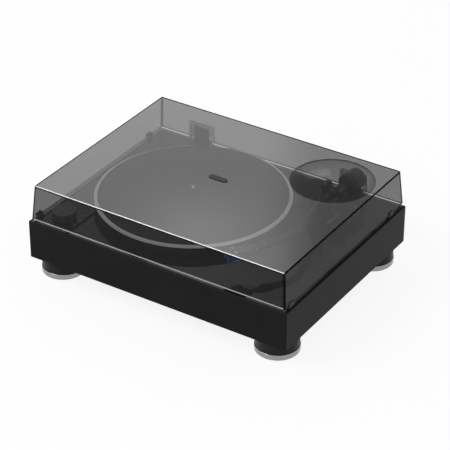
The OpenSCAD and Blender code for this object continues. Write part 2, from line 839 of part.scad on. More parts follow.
lever_tip_r = 2.6;
lever_tip_l = 8;
lever_board_r = 10;
skate_place = [30, 3];
skate_xy = pivot_xy + [skate_place[0], -skate_place[1]];
skate_r = 9;
skate_h = 7;
skate_board_r = 12;
skate_pin_r = 2;
lever_rise = 6.6;
lever_z = board_top_z + lever_rise;
lever_side_x = lever_xy[0] + lever_block_w/2;

// A round lobe of the board at a place, with a narrower neck from the pivot
module lobe(p, r) {
  way = p - pivot_xy;
  at_xy(p) circle(r = r);
  at_xy(pivot_xy) rotate([0, 0, atan2(way[1], way[0])])
    translate([0, -r*neck_share]) square([norm(way), 2*r*neck_share]);
}

module arm_board() {
  shaft_hole_h = board_top_z - yaw_shaft_z + 2*cut;
  color([0.1, 0.1, 0.105])
  difference() {
    union() {
      at_xy(pivot_xy, column_z) cylinder(r = column_r, h = board_z - column_z);
      translate([0, 0, board_z]) linear_extrude(height = board_t) {
        at_xy(pivot_xy) circle(r = board_r);
        lobe(cue_xy, cue_board_r);
        lobe(rest_xy, rest_board_r);
        lobe(lever_xy, lever_board_r);
        lobe(skate_xy, skate_board_r);
      }
      at_xy(skate_xy, board_top_z) cylinder(r = skate_pin_r, h = skate_h/2);
    }
    at_xy(pivot_xy, yaw_shaft_z - cut) cylinder(r = yaw_shaft_r + run_fit, h = shaft_hole_h);
  }
}

module cue_cylinder() {
  color([0.3, 0.3, 0.31]) at_xy(cue_xy, board_top_z) tube(cue_r, lift_rod_r + run_fit, cue_h);
}

// The lift is an arc about the pivot, so that the tube meets it wherever the arm stands
module cue_lift() {
  sweep = yaw_range + 2*lift_margin;
  rod_z = board_top_z + move_gap;
  color([0.12, 0.12, 0.12]) {
    at_xy(pivot_xy, lift_top_z - lift_t) rotate([0, 0, lift_heading - 90 - sweep/2])
      rotate_extrude(angle = sweep) translate([lift_r - lift_w/2, 0]) square([lift_w, lift_t]);
    at_xy(cue_xy, rod_z) cylinder(r = lift_rod_r, h = lift_top_z - lift_t - rod_z);
  }
}

module cue_block() {
  color([0.15, 0.15, 0.15])
  difference() {
    at_xy(lever_xy, board_top_z) translate([-lever_block_w/2, -lever_block_d/2, 0])
      cube([lever_block_w, lever_block_d, lever_block_h]);
    translate([lever_side_x - lever_block_w/2, lever_xy[1], lever_z]) rotate([0, 90, 0])
      cylinder(r = lever_shaft_r + run_fit, h = lever_block_w);
  }
}

module cue_lever() {
  side_x = lever_side_x + move_gap + lever_shaft_r;
  color([0.7, 0.7, 0.72]) {
    translate([lever_side_x - lever_block_w/2 + move_gap, lever_xy[1], lever_z]) rotate([0, 90, 0])
      cylinder(r = lever_shaft_r, h = lever_block_w/2 + 2*lever_shaft_r);
    translate([side_x, lever_xy[1], lever_z]) rotate([90, 0, 0]) {
      cylinder(r = lever_r, h = lever_l);
      translate([0, 0, lever_l]) cylinder(r = lever_tip_r, h = lever_tip_l);
    }
  }
}

module arm_rest() {
  wall_x = rest_wall_x - rest_xy[0];
  ear_t = (rest_d - clip_w)/2 - move_gap;
  ear_z = clip_z - clip_r - move_gap;
  color([0.1, 0.1, 0.1])
  at_xy(rest_xy) {
    translate([-rest_w/2, -rest_d/2, board_top_z])
      cube([wall_x + rest_w/2, rest_d, rest_top_z - board_top_z]);
    translate([wall_x, -rest_d/2, board_top_z]) cube([rest_wall, rest_d, ear_z - board_top_z]);
    difference() {
      translate([wall_x, -rest_d/2, ear_z]) cube([rest_wall, ear_t, 2*clip_r + move_gap]);
      translate([wall_x + rest_wall/2, -rest_d/2 - cut, clip_z])
        along_y(clip_pin_r + run_fit, ear_t + 2*cut);
    }
  }
}

// The clip stands open beside the tube, and folds over it to hold the arm
module rest_clip() {
  color([0.2, 0.2, 0.2])
  translate([rest_wall_x + rest_wall/2, rest_xy[1] - clip_w/2, clip_z]) {
    along_y(clip_r, clip_w);
    translate([0, clip_w/2 - rest_d/2, 0]) along_y(clip_pin_r, rest_d/2);
    translate([-clip_t/2, 0, 0]) cube([clip_t, clip_w, clip_l]);
  }
}

module anti_skate_dial() {
  color([0.2, 0.2, 0.2])
  at_xy(skate_xy, board_top_z + move_gap) difference() {
    cylinder(r = skate_r, h = skate_h);
    translate([0, 0, -cut]) cylinder(r = skate_pin_r + run_fit, h = skate_h/2 + cut);
    translate([0, 0, -cut]) ring_places(skate_r + ring_grip_r/2, nut_grips*2)
      cylinder(r = ring_grip_r, h = skate_h + 2*cut, $fn = 16);
  }
}

// Yoke and block: the yoke turns about the vertical, the block tips between its posts
yoke_r = 20;
yoke_t = 4.5;
post_gap = 11.5;
post_t = 6.5;
post_round_r = 7.5;
post_neck_r = 7.1;
yoke_z = board_top_z + move_gap;
post_rise = 14;
post_axis_z = arm_z + post_rise - post_round_r;
block_r = 8;
block_l = 26;
block_side = 2.4;
pivot_screw_r = 2;
pivot_head_r = 3.4;
pivot_head_t = 1.6;
pivot_tip_gap = 0.2;
block_screw_r = 2.4;
block_screw_h = 1.4;
stub_r = 4;
stub_l = 62;
dial_t = 6;
dial_r_share = 0.94;
dial_gap = 0.3;

// Moves its child to the pivot with the tube's first run along its own -Y
module at_arm() {
  at_xy(pivot_xy, arm_z) rotate([0, 0, tube_heading]) children();
}

module arm_yoke() {
  color([0.13, 0.13, 0.135])
  difference() {
    union() {
      at_xy(pivot_xy, yoke_z) cylinder(r = yoke_r, h = yoke_t);
      at_xy(pivot_xy, yaw_shaft_z) cylinder(r = yaw_shaft_r, h = yoke_z - yaw_shaft_z + cut);
      at_arm() for (x = [-1, 1]) {
        translate([x > 0 ? post_gap : -post_gap - post_t, 0, post_axis_z - arm_z]) rotate([0, 90, 0])
          cylinder(r = post_round_r, h = post_t);
        translate([x > 0 ? post_gap : -post_gap - post_t, -post_neck_r, yoke_z - arm_z])
          cube([post_t, 2*post_neck_r, post_axis_z - yoke_z]);
      }
    }
    at_arm() translate([-post_gap - post_t - cut, 0, 0]) rotate([0, 90, 0])
      cylinder(r = pivot_screw_r + seat_fit, h = 2*(post_gap + post_t + cut));
  }
}

module pivot_screws() {
  color("gold")
  at_arm() for (x = [-1, 1]) {
    rotate([0, x*90, 0]) {
      translate([0, 0, block_r + pivot_tip_gap + block_side])
        cylinder(r = pivot_screw_r, h = post_gap + post_t - block_r - pivot_tip_gap - block_side);
      translate([0, 0, post_gap + post_t]) cylinder(r = pivot_head_r, h = pivot_head_t);
    }
  }
}

module arm_block() {
  color([0.2, 0.2, 0.205])
  at_arm() {
    translate([0, block_l/2, 0]) rotate([90, 0, 0]) cylinder(r = block_r, h = block_l);
    translate([-block_r - block_side, 0, 0]) rotate([0, 90, 0])
      cylinder(r = block_r/2, h = 2*(block_r + block_side));
    translate([0, block_l/2, 0]) rotate([-90, 0, 0]) cylinder(r = stub_r, h = stub_l - block_l/2);
    cylinder(r = 2*block_screw_r, h = block_r + block_screw_h);
  }
}

module block_screw() {
  color("gold") at_arm() translate([0, 0, block_r + block_screw_h])
    cylinder(r = block_screw_r, h = block_screw_h);
}

// A straight run of tube that laps a little way into the bend behind it and the one ahead
module run(p, a, l, behind, ahead) {
  at_xy(p, arm_z) rotate([0, 0, a]) translate([0, behind, 0]) rotate([90, 0, 0])
    cylinder(r = tube_d/2, h = l + behind + ahead);
}

module bend(p, a, b, r) {
  side = b > a ? 1 : -1;
  at_xy(p + side*r*[cos(a), sin(a)], arm_z) rotate([0, 0, b > a ? a + 180 : b])
    rotate_extrude(angle = abs(b - a)) translate([r, 0]) circle(r = tube_d/2 - seat_fit, $fn = 48);
}

module arm_tube() {
  color([0.08, 0.08, 0.085]) {
    run(pivot_xy + block_l/2*heading(tube_heading), tube_heading, first_run - block_l/2, 0, bend_lap);
    bend(bend_a, tube_heading, bend_heading, first_bend_r);
    run(bend_b, bend_heading, middle_run, bend_lap, bend_lap);
    bend(bend_c, bend_heading, shell_heading, second_bend_r);
    run(bend_d, shell_heading, last_run, bend_lap, 0);
  }
}

// Headshell pieces, drawn along -Y from the tube's end
collar_l = 12;
collar_t = 1.6;
collar_groove = 0.5;
collar_grooves = 3;
neck_l = 8;
shell_t = 2.5;
shell_top = 1;
shell_front = 12;
neck_w = 8;
shoulder_l = 9;
lift_bar_w = 3;
lift_bar_t = 1.5;
lift_bar_l = 17;
finger_rise = 20;
shell_screw_r = 1.3;
shell_screw_head_r = 2.3;
shell_screw_head_h = 1.6;
shell_nut_h = 2;
shell_front_y = shell_reach + shell_front;
plate_y = shell_front_y - shell_plate_l;
cartridge_w = 16;
cartridge_l = 27;
cartridge_body_h = 9;
cartridge_front = 12;
cartridge_pin_r = 0.6;
cartridge_pin_l = 3;
pin_spread = 4;
cartridge_top = shell_top - shell_t;
stylus_w = 9;
stylus_l = 15;
stylus_h = 3.5;
cantilever_r = 0.4;
tip_r = 0.5;
lead_r = 0.7;
lead_bow = 3;
lead_pitch = 1.5;
lead_drop = 0.3;

module at_shell() {
  at_xy(tube_end, arm_z) rotate([0, 0, shell_heading]) children();
}

module locking_collar() {
  r = tube_d/2 + collar_t;
  color([0.3, 0.3, 0.31])
  at_shell() rotate([-90, 0, 0]) difference() {
    tube(r, tube_d/2 + run_fit, collar_l);
    for (i = [1:collar_grooves]) {
      translate([0, 0, collar_l*i/(collar_grooves + 1)]) rotate_extrude()
        translate([r - collar_groove, 0]) square([2*collar_groove, collar_groove]);
    }
  }
}

module headshell() {
  color([0.1, 0.1, 0.105])
  at_shell() difference() {
    union() {
      rotate([90, 0, 0]) cylinder(r = tube_d/2, h = neck_l);
      translate([0, 0, shell_top - shell_t]) linear_extrude(height = shell_t) polygon([
        [-neck_w/2, -neck_l/2], [neck_w/2, -neck_l/2], [neck_w/2, shoulder_l - plate_y],
        [shell_w/2, -plate_y], [shell_w/2, edge_bevel - shell_front_y],
        [shell_w/2 - edge_bevel, -shell_front_y], [edge_bevel - shell_w/2, -shell_front_y],
        [-shell_w/2, edge_bevel - shell_front_y],
        [-shell_w/2, -plate_y], [-neck_w/2, shoulder_l - plate_y]
      ]);
      translate([shell_w/2, -shell_reach, shell_top - lift_bar_t]) rotate([0, -finger_rise, 0])
        translate([-lift_bar_t, -lift_bar_w/2, 0]) cube([lift_bar_l, lift_bar_w, lift_bar_t]);
    }
    for (x = [-1, 1]) {
      translate([x*screw_spacing/2, -shell_reach, shell_top - shell_t - cut])
        cylinder(r = shell_screw_r + run_fit, h = shell_t + 2*cut);
    }
  }
}

module cartridge_screws() {
  color("silver")
  at_shell() for (x = [-1, 1]) {
    translate([x*screw_spacing/2, -shell_reach, 0]) {
      translate([0, 0, shell_top]) cylinder(r = shell_screw_head_r, h = shell_screw_head_h);
      translate([0, 0, cartridge_top - shell_nut_h - cut])
        cylinder(r = shell_screw_r, h = shell_t + shell_nut_h + cut);
    }
  }
}

module cartridge() {
  back_y = cartridge_l - shell_reach - cartridge_front;
  color([0.1, 0.25, 0.7])
  at_shell() {
    difference() {
      translate([-cartridge_w/2, -shell_reach - cartridge_front, cartridge_top - cartridge_body_h])
        cube([cartridge_w, cartridge_l, cartridge_body_h]);
      for (x = [-1, 1]) {
        translate([x*screw_spacing/2, -shell_reach, cartridge_top - shell_nut_h - 2*cut])
          cylinder(r = shell_screw_r + run_fit, h = shell_nut_h + 3*cut);
      }
    }
    for (x = [-1, 1], z = [1, 2]) {
      translate([x*pin_spread, back_y, cartridge_top - z*cartridge_body_h/3])
        along_y(cartridge_pin_r, cartridge_pin_l);
    }
  }
}

module rod(p, q, r) {
  d = q - p;
  translate(p) rotate([0, acos(d[2]/norm(d)), atan2(d[1], d[0])]) cylinder(r = r, h = norm(d));
}

module stylus() {
  body_z = cartridge_top - cartridge_body_h - stylus_h;
  tip_y = -shell_reach - screw_ahead;
  tip_z = cartridge_top - cartridge_h;
  body_y = tip_y + screw_ahead/2;
  color([0.85, 0.85, 0.85])
  at_shell() {
    translate([-stylus_w/2, body_y, body_z]) cube([stylus_w, stylus_l, stylus_h]);
    rod([0, tip_y - tip_r, tip_z + tip_r], [0, body_y + stylus_h/2, body_z + stylus_h/2], cantilever_r);
    translate([0, tip_y, tip_z]) cylinder(r1 = 0, r2 = tip_r, h = 2*tip_r);
  }
}

module lead(p, q) {
  hull() {
    translate(p) sphere(r = lead_r, $fn = 8);
    translate(q) sphere(r = lead_r, $fn = 8);
  }
}

// Four leads from the back of the headshell to the pins of the cartridge, each with a bow outwards
module headshell_leads() {
  pin_end_y = cartridge_l - shell_reach - cartridge_front + cartridge_pin_l;
  top = cartridge_top - lead_r - lead_drop;
  at_shell() for (x = [-1, 1], z = [1, 2]) {
    start = [x*(neck_w/2 - 2*lead_r), -neck_l - lead_r, top - (z - 1)*lead_pitch];
    bow = [x*(pin_spread + z*lead_bow), (pin_end_y - neck_l)/2, top - z*lead_pitch];
    finish = [x*pin_spread, pin_end_y + lead_r, cartridge_top - z*cartridge_body_h/3];
    color(x > 0 ? (z > 1 ? "red" : "white") : (z > 1 ? "green" : "blue")) {
      lead(start, bow);
      lead(bow, finish);
    }
  }
}

module force_dial() {
  color([0.6, 0.6, 0.62])
  at_arm() translate([0, weight_reach - weight_l/2 - dial_gap, 0]) rotate([90, 0, 0])
    tube(weight_d/2*dial_r_share, stub_r + run_fit, dial_t);
}

module counterweight() {
  color([0.2, 0.2, 0.21])
  at_arm() translate([0, weight_reach - weight_l/2, 0]) rotate([-90, 0, 0])
    tube(weight_d/2, stub_r + run_fit, weight_l);
}

// Hinges: a leaf in a pocket of the cover turns on a pin that a base in the deck carries
hinge_from_side = 87;
hinge_axis_inset = 4.5;
hinge_axis_rise = 4.2;
hinge_axis_y = plinth_d/2 - hinge_axis_inset;
hinge_axis_z = deck_z + hinge_axis_rise;
hinge_r = 3.5;
hinge_pin_r = 1.5;
hinge_w = 30;
hinge_mid_w = 17;
hinge_notch_w = 34;
hinge_notch_h = 9;
hinge_plate_t = 3;
hinge_plate_y = hinge_axis_y - hinge_plate_t/2;
hinge_slot_floor = 3;
leaf_t = 2.7;
leaf_h = 23;
leaf_w = 28;
leaf_offset = 5.2;
leaf_y = hinge_axis_y - leaf_offset;
pocket_w = 44;
pocket_h = 30;
pocket_d = 8.5;
pocket_t = 2;
pocket_lift = 0.6;

module hinge_places() {
  for (x = [-1, 1]) {
    translate([x*(plinth_w/2 - hinge_from_side), 0, 0]) children();
  }
}

module along_x(r, l) {
  translate([-l/2, 0, 0]) rotate([0, 90, 0]) cylinder(r = r, h = l);
}

module hinge_bases() {
  slot_z = cavity_z + hinge_slot_floor;
  color([0.1, 0.1, 0.1])
  hinge_places() difference() {
    union() {
      translate([0, hinge_axis_y, hinge_axis_z]) along_x(hinge_r, hinge_w);
      translate([panel_fit - hinge_w/2, hinge_plate_y + seat_fit, slot_z])
        cube([hinge_w - 2*panel_fit, hinge_plate_t - 2*seat_fit, hinge_axis_z - slot_z]);
    }
    translate([0, hinge_axis_y, hinge_axis_z]) along_x(hinge_pin_r + seat_fit, hinge_w + 2*cut);
    translate([-hinge_mid_w/2 - move_gap, hinge_axis_y - 2*hinge_r, deck_z + move_gap/4])
      cube([hinge_mid_w + 2*move_gap, 4*hinge_r, 4*hinge_r]);
  }
}

module hinge_pins() {
  color("silver") hinge_places() translate([0, hinge_axis_y, hinge_axis_z]) along_x(hinge_pin_r, hinge_w);
}

module hinge_leaves() {
  color([0.07, 0.07, 0.07])
  hinge_places() difference() {
    union() {
      translate([0, hinge_axis_y, hinge_axis_z]) along_x(hinge_r, hinge_mid_w);
      translate([-hinge_mid_w/2, leaf_y, hinge_axis_z - hinge_r/2])
        cube([hinge_mid_w, hinge_axis_y - leaf_y, hinge_r/2 + leaf_t]);
      translate([-leaf_w/2, leaf_y, hinge_axis_z + hinge_r + 2*move_gap]) cube([leaf_w, leaf_t, leaf_h]);
      translate([-hinge_mid_w/2, leaf_y, hinge_axis_z - hinge_r/2]) cube([hinge_mid_w, leaf_t, leaf_h/2]);
    }
    translate([0, hinge_axis_y, hinge_axis_z]) along_x(hinge_pin_r + run_fit, hinge_w);
  }
}

// Cover walls as a block that leans in on all sides, drawn at a distance inside the outer faces
cover_left = cover_inset_side - plinth_w/2;
cover_front = cover_inset_front - plinth_d/2;
cover_back = plinth_d/2 - cover_inset_rear;

slab_t = 0.01;

module cover_slab(z, inset, lean) {
  translate([cover_left + inset + lean, cover_front + inset + lean, z])
    cube([-2*(cover_left + inset + lean), cover_back - cover_front - 2*(inset + lean), slab_t]);
}

module cover_block(inset, z0, z1) {
  low = cover_lean*(z0 - cover_z)/cover_h;
  high = cover_lean*(z1 - cover_z)/cover_h;
  hull() {
    cover_slab(z0, inset, low);
    cover_slab(z1 - slab_t, inset, high);
  }
}

bubble_offset = [1.5, 6.5];
bubble_xy = pivot_xy - bubble_offset;
bubble_r = bubble_d/2;
bubble_ball_r = (bubble_r*bubble_r + bubble_h*bubble_h)/(2*bubble_h);
bubble_ball_z = cover_top_z + bubble_h - bubble_ball_r;

module dust_cover() {
  color([0.2, 0.2, 0.21, 0.45])
  difference() {
    union() {
      difference() {
        cover_block(0, cover_z, cover_top_z);
        cover_block(cover_t, cover_z - cut, cover_top_z - cover_t);
      }
      at_xy(bubble_xy) intersection() {
        translate([0, 0, bubble_ball_z]) sphere(r = bubble_ball_r);
        translate([0, 0, cover_top_z - cover_t/2]) cylinder(r = bubble_r + cut, h = bubble_h + cover_t);
      }
    }
    at_xy(bubble_xy) intersection() {
      translate([0, 0, bubble_ball_z]) sphere(r = bubble_ball_r - cover_t);
      translate([0, 0, cover_top_z - 2*cover_t]) cylinder(r = bubble_r, h = bubble_h + 2*cover_t);
    }
    hinge_places() translate([-hinge_notch_w/2, cover_back - 3*cover_t, cover_z - cut])
      cube([hinge_notch_w, 4*cover_t, hinge_notch_h + cut]);
  }
}

module hinge_pockets() {
  front_y = cover_back - cover_t - pocket_d;
  color([0.6, 0.6, 0.6, 0.3])
  intersection() {
    hinge_places() difference() {
      translate([-pocket_w/2, front_y, cover_z + pocket_lift]) cube([pocket_w, 2*pocket_d, pocket_h]);
      translate([pocket_t - pocket_w/2, front_y + pocket_t, cover_z - cut])
        cube([pocket_w - 2*pocket_t, 2*pocket_d, pocket_h + pocket_lift + cut - pocket_t]);
    }
    cover_block(cover_t + seat_fit, cover_z, cover_top_z - cover_t);
  }
}

cover_plate_h = 10;
cover_plate_t = 1;

module cover_plate() {
  r = cover_plate_h/2;
  run = cover_plate_w/2 - r;
  color([0.05, 0.05, 0.05]) translate([0, 0, cover_top_z]) bar([-run, 0], [run, 0], r, cover_plate_t);
}

bumper_l = 12;
bumper_t = 1.2;
bumper_h = 3.6;
bumper_from_front = 20;
bumper_from_rear = 38;

module cover_bumpers() {
  w = cover_t + 2*bumper_t;
  side = cover_left + cover_t/2;
  color([0.03, 0.03, 0.03])
  difference() {
    for (x = [-1, 1], y = [bumper_from_front - plinth_d/2, plinth_d/2 - bumper_from_rear]) {
      translate([x*side - w/2, y - bumper_l/2, deck_z]) cube([w, bumper_l, cover_gap + bumper_h]);
    }
    difference() {
      cover_block(-seat_fit, cover_z, cover_top_z);
      cover_block(cover_t + seat_fit, cover_z - cut, cover_top_z - cover_t);
    }
  }
}

plinth();
bottom_cover();
bottom_screws();
machine_screws();
foot_front_left();
foot_front_right();
foot_rear_left();
foot_rear_right();
bearing_housing();
thrust_pad();
motor();
motor_pulley();
drive_belt();
spindle();
inner_platter();
platter();
platter_mat();
speed_switch();
switch_shaft();
speed_knob();
main_board();
rear_panel();
output_sockets();
power_inlet();
line_switch();
ground_post();
ground_nut();
arm_base_plate();
arm_base_screws();
height_lock();
height_ring();
arm_board();
cue_cylinder();
cue_lift();
cue_block();
cue_lever();
arm_rest();
rest_clip();
anti_skate_dial();
arm_yoke();
pivot_screws();
arm_block();
block_screw();
arm_tube();
locking_collar();
headshell();
cartridge_screws();
cartridge();
stylus();
headshell_leads();
force_dial();
counterweight();
hinge_bases();
hinge_pins();
hinge_leaves();
hinge_pockets();
dust_cover();
cover_plate();
cover_bumpers();
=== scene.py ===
import math

import bmesh
import bpy
from mathutils import Matrix, Vector


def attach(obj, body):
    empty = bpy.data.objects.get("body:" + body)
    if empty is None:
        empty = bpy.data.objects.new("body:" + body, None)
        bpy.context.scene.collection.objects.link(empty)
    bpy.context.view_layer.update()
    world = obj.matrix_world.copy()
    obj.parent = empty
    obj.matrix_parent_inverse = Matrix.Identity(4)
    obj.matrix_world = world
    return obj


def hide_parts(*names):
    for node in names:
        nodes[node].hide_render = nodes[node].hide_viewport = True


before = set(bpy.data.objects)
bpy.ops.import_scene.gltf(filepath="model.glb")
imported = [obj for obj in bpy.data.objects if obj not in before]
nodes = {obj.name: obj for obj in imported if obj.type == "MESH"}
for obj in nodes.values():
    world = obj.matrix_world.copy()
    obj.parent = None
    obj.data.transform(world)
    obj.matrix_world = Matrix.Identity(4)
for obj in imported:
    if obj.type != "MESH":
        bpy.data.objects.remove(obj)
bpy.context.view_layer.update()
mm = 0.001


# Shader expressions


class Field:
    # a value that varies over a surface; arithmetic on it adds Math nodes
    def __init__(self, nodeTree, socket):
        self.nodeTree = nodeTree
        self.socket = socket

    def __add__(self, other):
        return self.nodeTree.maths("ADD", self, other)

    def __sub__(self, other):
        return self.nodeTree.maths("SUBTRACT", self, other)

    def __rsub__(self, other):
        return self.nodeTree.maths("SUBTRACT", other, self)

    def __mul__(self, other):
        return self.nodeTree.maths("MULTIPLY", self, other)

    def __truediv__(self, other):
        return self.nodeTree.maths("DIVIDE", self, other)

    def __rtruediv__(self, other):
        return self.nodeTree.maths("DIVIDE", other, self)

    def __pow__(self, other):
        return self.nodeTree.maths("POWER", self, other)

    def __rpow__(self, other):
        return self.nodeTree.maths("POWER", other, self)

    def __gt__(self, other):
        return self.nodeTree.maths("GREATER_THAN", self, other)

    def __lt__(self, other):
        return self.nodeTree.maths("LESS_THAN", self, other)

    def __abs__(self):
        return self.nodeTree.maths("ABSOLUTE", self)

    __radd__ = __add__
    __rmul__ = __mul__

    def sine(self):
        return self.nodeTree.maths("SINE", self)

    def root(self):
        return self.nodeTree.maths("SQRT", self)


class NodeTree:
    # the nodes of a lamp, the world or a material, all made by add
    def __init__(self, owner):
        owner.use_nodes = True
        self.tree = owner.node_tree

    def add(self, kind, settings=None, values=None):
        node = self.tree.nodes.new(kind)
        for key, value in (settings or {}).items():
            setattr(node, key, value)
        for key, value in (values or {}).items():
            self.feed(node.inputs[key], value)
        return node

    def feed(self, socket, value):
        if isinstance(value, Field):
            self.tree.links.new(value.socket, socket)
        elif isinstance(value, bpy.types.NodeSocket):
            self.tree.links.new(value, socket)
        elif socket.type == "RGBA" and len(value) == 3:
            socket.default_value = (*value, 1)
        else:
            socket.default_value = value

    def maths(self, operation, *values, clamp=False):
        settings = {"operation": operation, "use_clamp": clamp}
        return Field(self, self.add("ShaderNodeMath", settings, dict(enumerate(values))).outputs[0])

    def first(self, kind):
        return next(node for node in self.tree.nodes if node.type == kind)

    def parts(self, vector):
        split = self.add("ShaderNodeSeparateXYZ", values={0: vector})
        return [Field(self, output) for output in split.outputs]

    def eyeRays(self):
        # 1 for what is seen straight, in a mirror or through glass
        rays = self.add("ShaderNodeLightPath").outputs
        seen = self.maths("ADD", rays["Is Camera Ray"], rays["Is Glossy Ray"])
        return self.maths("ADD", seen, rays["Is Transmission Ray"], clamp=True)


class Finish(NodeTree):
    # one material: a Principled shader and the nodes that feed it
    def __init__(self, name, color, roughness, metallic=0.0, **constants):
        self.material = bpy.data.materials.new(name)
        super().__init__(self.material)
        self.shader = self.first("BSDF_PRINCIPLED")
        self.set("Base Color", color)
        self.set("Roughness", roughness)
        self.set("Metallic", metallic)
        for socket, value in constants.items():
            self.set(socket.replace("_", " "), value)
        self.material.diffuse_color = (*color, 1)

    def set(self, name, value):
        self.feed(self.shader.inputs[name], value)
        return self

    def place(self):
        # place on the surface, in the frame's metres
        return self.add("ShaderNodeTexCoord").outputs["Object"]

    def axes(self):
        return self.parts(self.place())

    def radius(self, center):
        x, y = self.axes()[:2]
        return ((x - center[0]) ** 2 + (y - center[1]) ** 2).root()

    def noise(self, size, detail=2.0, stretch=(1, 1, 1)):
        scale = [s / size for s in stretch]
        vector = self.add("ShaderNodeVectorMath", {"operation": "MULTIPLY"}, {0: self.place(), 1: scale})
        values = {"Vector": vector.outputs[0], "Scale": 1.0, "Detail": detail}
        return Field(self, self.add("ShaderNodeTexNoise", values=values).outputs[0])

    def blend(self, mask, low, high):
        return self.add("ShaderNodeMix", {"data_type": "RGBA"}, {0: mask, 6: low, 7: high}).outputs[2]

    def bump(self, height, depth, strength):
        values = {"Strength": strength, "Distance": depth, "Height": height}
        return self.set("Normal", self.add("ShaderNodeBump", values=values).outputs[0])

    def on(self, *targets):
        for target in targets:
            slots = (nodes[target] if isinstance(target, str) else target).data.materials
            if len(slots) == 0:
                slots.append(self.material)
            for i in range(len(slots)):
                slots[i] = self.material


# Mesh helpers


def putObject(name, data):
    made = bpy.data.objects.new(name, data)
    bpy.context.scene.collection.objects.link(made)
    return made


def settle(mesh, name, body, finish):
    # a finished mesh becomes a piece that rides on a body
    piece = putObject(name, mesh)
    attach(piece, body)
    finish.on(piece)
    return piece


def addPiece(bm, name, body, finish, smooth=None):
    bmesh.ops.recalc_face_normals(bm, faces=bm.faces)
    mesh = bpy.data.meshes.new(name)
    bm.to_mesh(mesh)
    bm.free()
    if smooth is not None:
        mesh.shade_smooth()
        mesh.set_sharp_from_angle(angle=math.radians(smooth))
    return settle(mesh, name, body, finish)


def meshOf(curve):
    # the mesh of a curve or of printed characters
    draft = putObject(curve.name + "Draft", curve)
    bpy.context.view_layer.update()
    mesh = bpy.data.meshes.new_from_object(draft.evaluated_get(bpy.context.evaluated_depsgraph_get()))
    bpy.data.objects.remove(draft)
    mesh.materials.clear()
    return mesh


def ringOf(bm, center, radius, z, steps):
    # points evenly round a level circle
    cx, cy = center
    turns = [2 * math.pi * i / steps for i in range(steps)]
    return [bm.verts.new((cx + radius * math.cos(turn), cy + radius * math.sin(turn), z)) for turn in turns]


def latheRings(bm, profile, steps):
    # turns a closed outline of (radius, z) points about the vertical
    rings = [ringOf(bm, (0, 0), radius, z, steps) for radius, z in profile]
    for low, high in zip(rings, rings[1:] + rings[:1]):
        for i in range(steps):
            j = (i + 1) % steps
            bm.faces.new((low[i], low[j], high[j], high[i]))


def heading(degrees):
    # level direction: 0 is the front, -Y, and 90 is +X
    turn = math.radians(degrees)
    return Vector((math.sin(turn), -math.cos(turn), 0))


# Camera, floor and light

cameraUser = {
    "place": (1.3685, -2.0899, 1.629),
    "aim": (-0.4619, 0.7116, -0.5293),
    "lens": 156.8,
    "sensor": 36.0,
    "clip": (0.05, 50),
}


def addCamera(user):
    data = bpy.data.cameras.new("photoView")
    data.lens = user["lens"]
    data.sensor_width = user["sensor"]
    data.clip_start, data.clip_end = user["clip"]
    camera = putObject("photoView", data)
    camera.location = user["place"]
    camera.rotation_euler = Vector(user["aim"]).to_track_quat("-Z", "Y").to_euler()
    bpy.context.scene.camera = camera


floorUser = {
    "size": 14.0,
    "height": -0.5 * mm,
    "color": (0.95, 0.95, 0.95),
    "roughness": 0.9,
    "seenWhite": 0.88,
}


def addFloor(user):
    # pale floor: white to the eye and to reflections, still holding the object's shadow
    half = user["size"] / 2
    mesh = bpy.data.meshes.new("floor")
    corners = [(x * half, y * half, 0) for x, y in ((-1, -1), (1, -1), (1, 1), (-1, 1))]
    mesh.from_pydata(corners, [], [(0, 1, 2, 3)])
    floor = putObject("floor", mesh)
    floor.location.z = user["height"]
    finish = Finish("paleFloor", user["color"], user["roughness"])
    white = finish.add("ShaderNodeEmission", values={"Color": (1, 1, 1), "Strength": 1.0})
    surfaces = {0: finish.eyeRays() * user["seenWhite"], 1: finish.shader.outputs[0], 2: white.outputs[0]}
    mixed = finish.add("ShaderNodeMixShader", values=surfaces)
    finish.feed(finish.first("OUTPUT_MATERIAL").inputs["Surface"], mixed.outputs[0])
    finish.on(floor)


lampTarget = Vector((0, 0, 80 * mm))
lightUser = {
    # name: heading and height of the lamp in degrees, distance, width, depth, power in watts,
    # and the share of its width and depth over which it fades out at each side
    "windowSoft": (-39, 32, 7.2, 2.4, 2.8, 27, 0.15),
    "edgeFront": (-137, 48, 3.0, 1.4, 0.6, 28, 0),
    "glowLow": (-34.7, 35.6, 2.9, 0.64, 0.46, 1.25, 0.5),
}


def fadeLamp(data, share):
    # an even middle that fades out towards the lamp's four sides
    lamp = NodeTree(data)
    spot = lamp.add("ShaderNodeNewGeometry").outputs["Parametric"]
    levels = []
    for across in lamp.parts(spot)[:2]:
        values = {"Value": abs(across - 0.5), "From Min": 0.5, "From Max": 0.5 - share}
        fade = lamp.add("ShaderNodeMapRange", {"interpolation_type": "SMOOTHSTEP"}, values)
        levels.append(Field(lamp, fade.outputs["Result"]))
    lamp.feed(lamp.first("EMISSION").inputs["Strength"], levels[0] * levels[1])


def addLamps(user):
    for name, (turn, rise, distance, width, depth, power, fade) in user.items():
        data = bpy.data.lights.new(name, "AREA")
        data.shape = "RECTANGLE"
        data.size = width
        data.size_y = depth
        data.energy = power
        if fade:
            fadeLamp(data, fade)
        level = math.cos(math.radians(rise))
        way = Vector((level * math.sin(math.radians(turn)), level * math.cos(math.radians(turn)),
                      math.sin(math.radians(rise))))
        lamp = putObject(name, data)
        lamp.location = lampTarget + way * distance
        lamp.rotation_euler = (-way).to_track_quat("-Z", "Y").to_euler()


worldUser = {"seen": 1.0, "lit": 0.75}


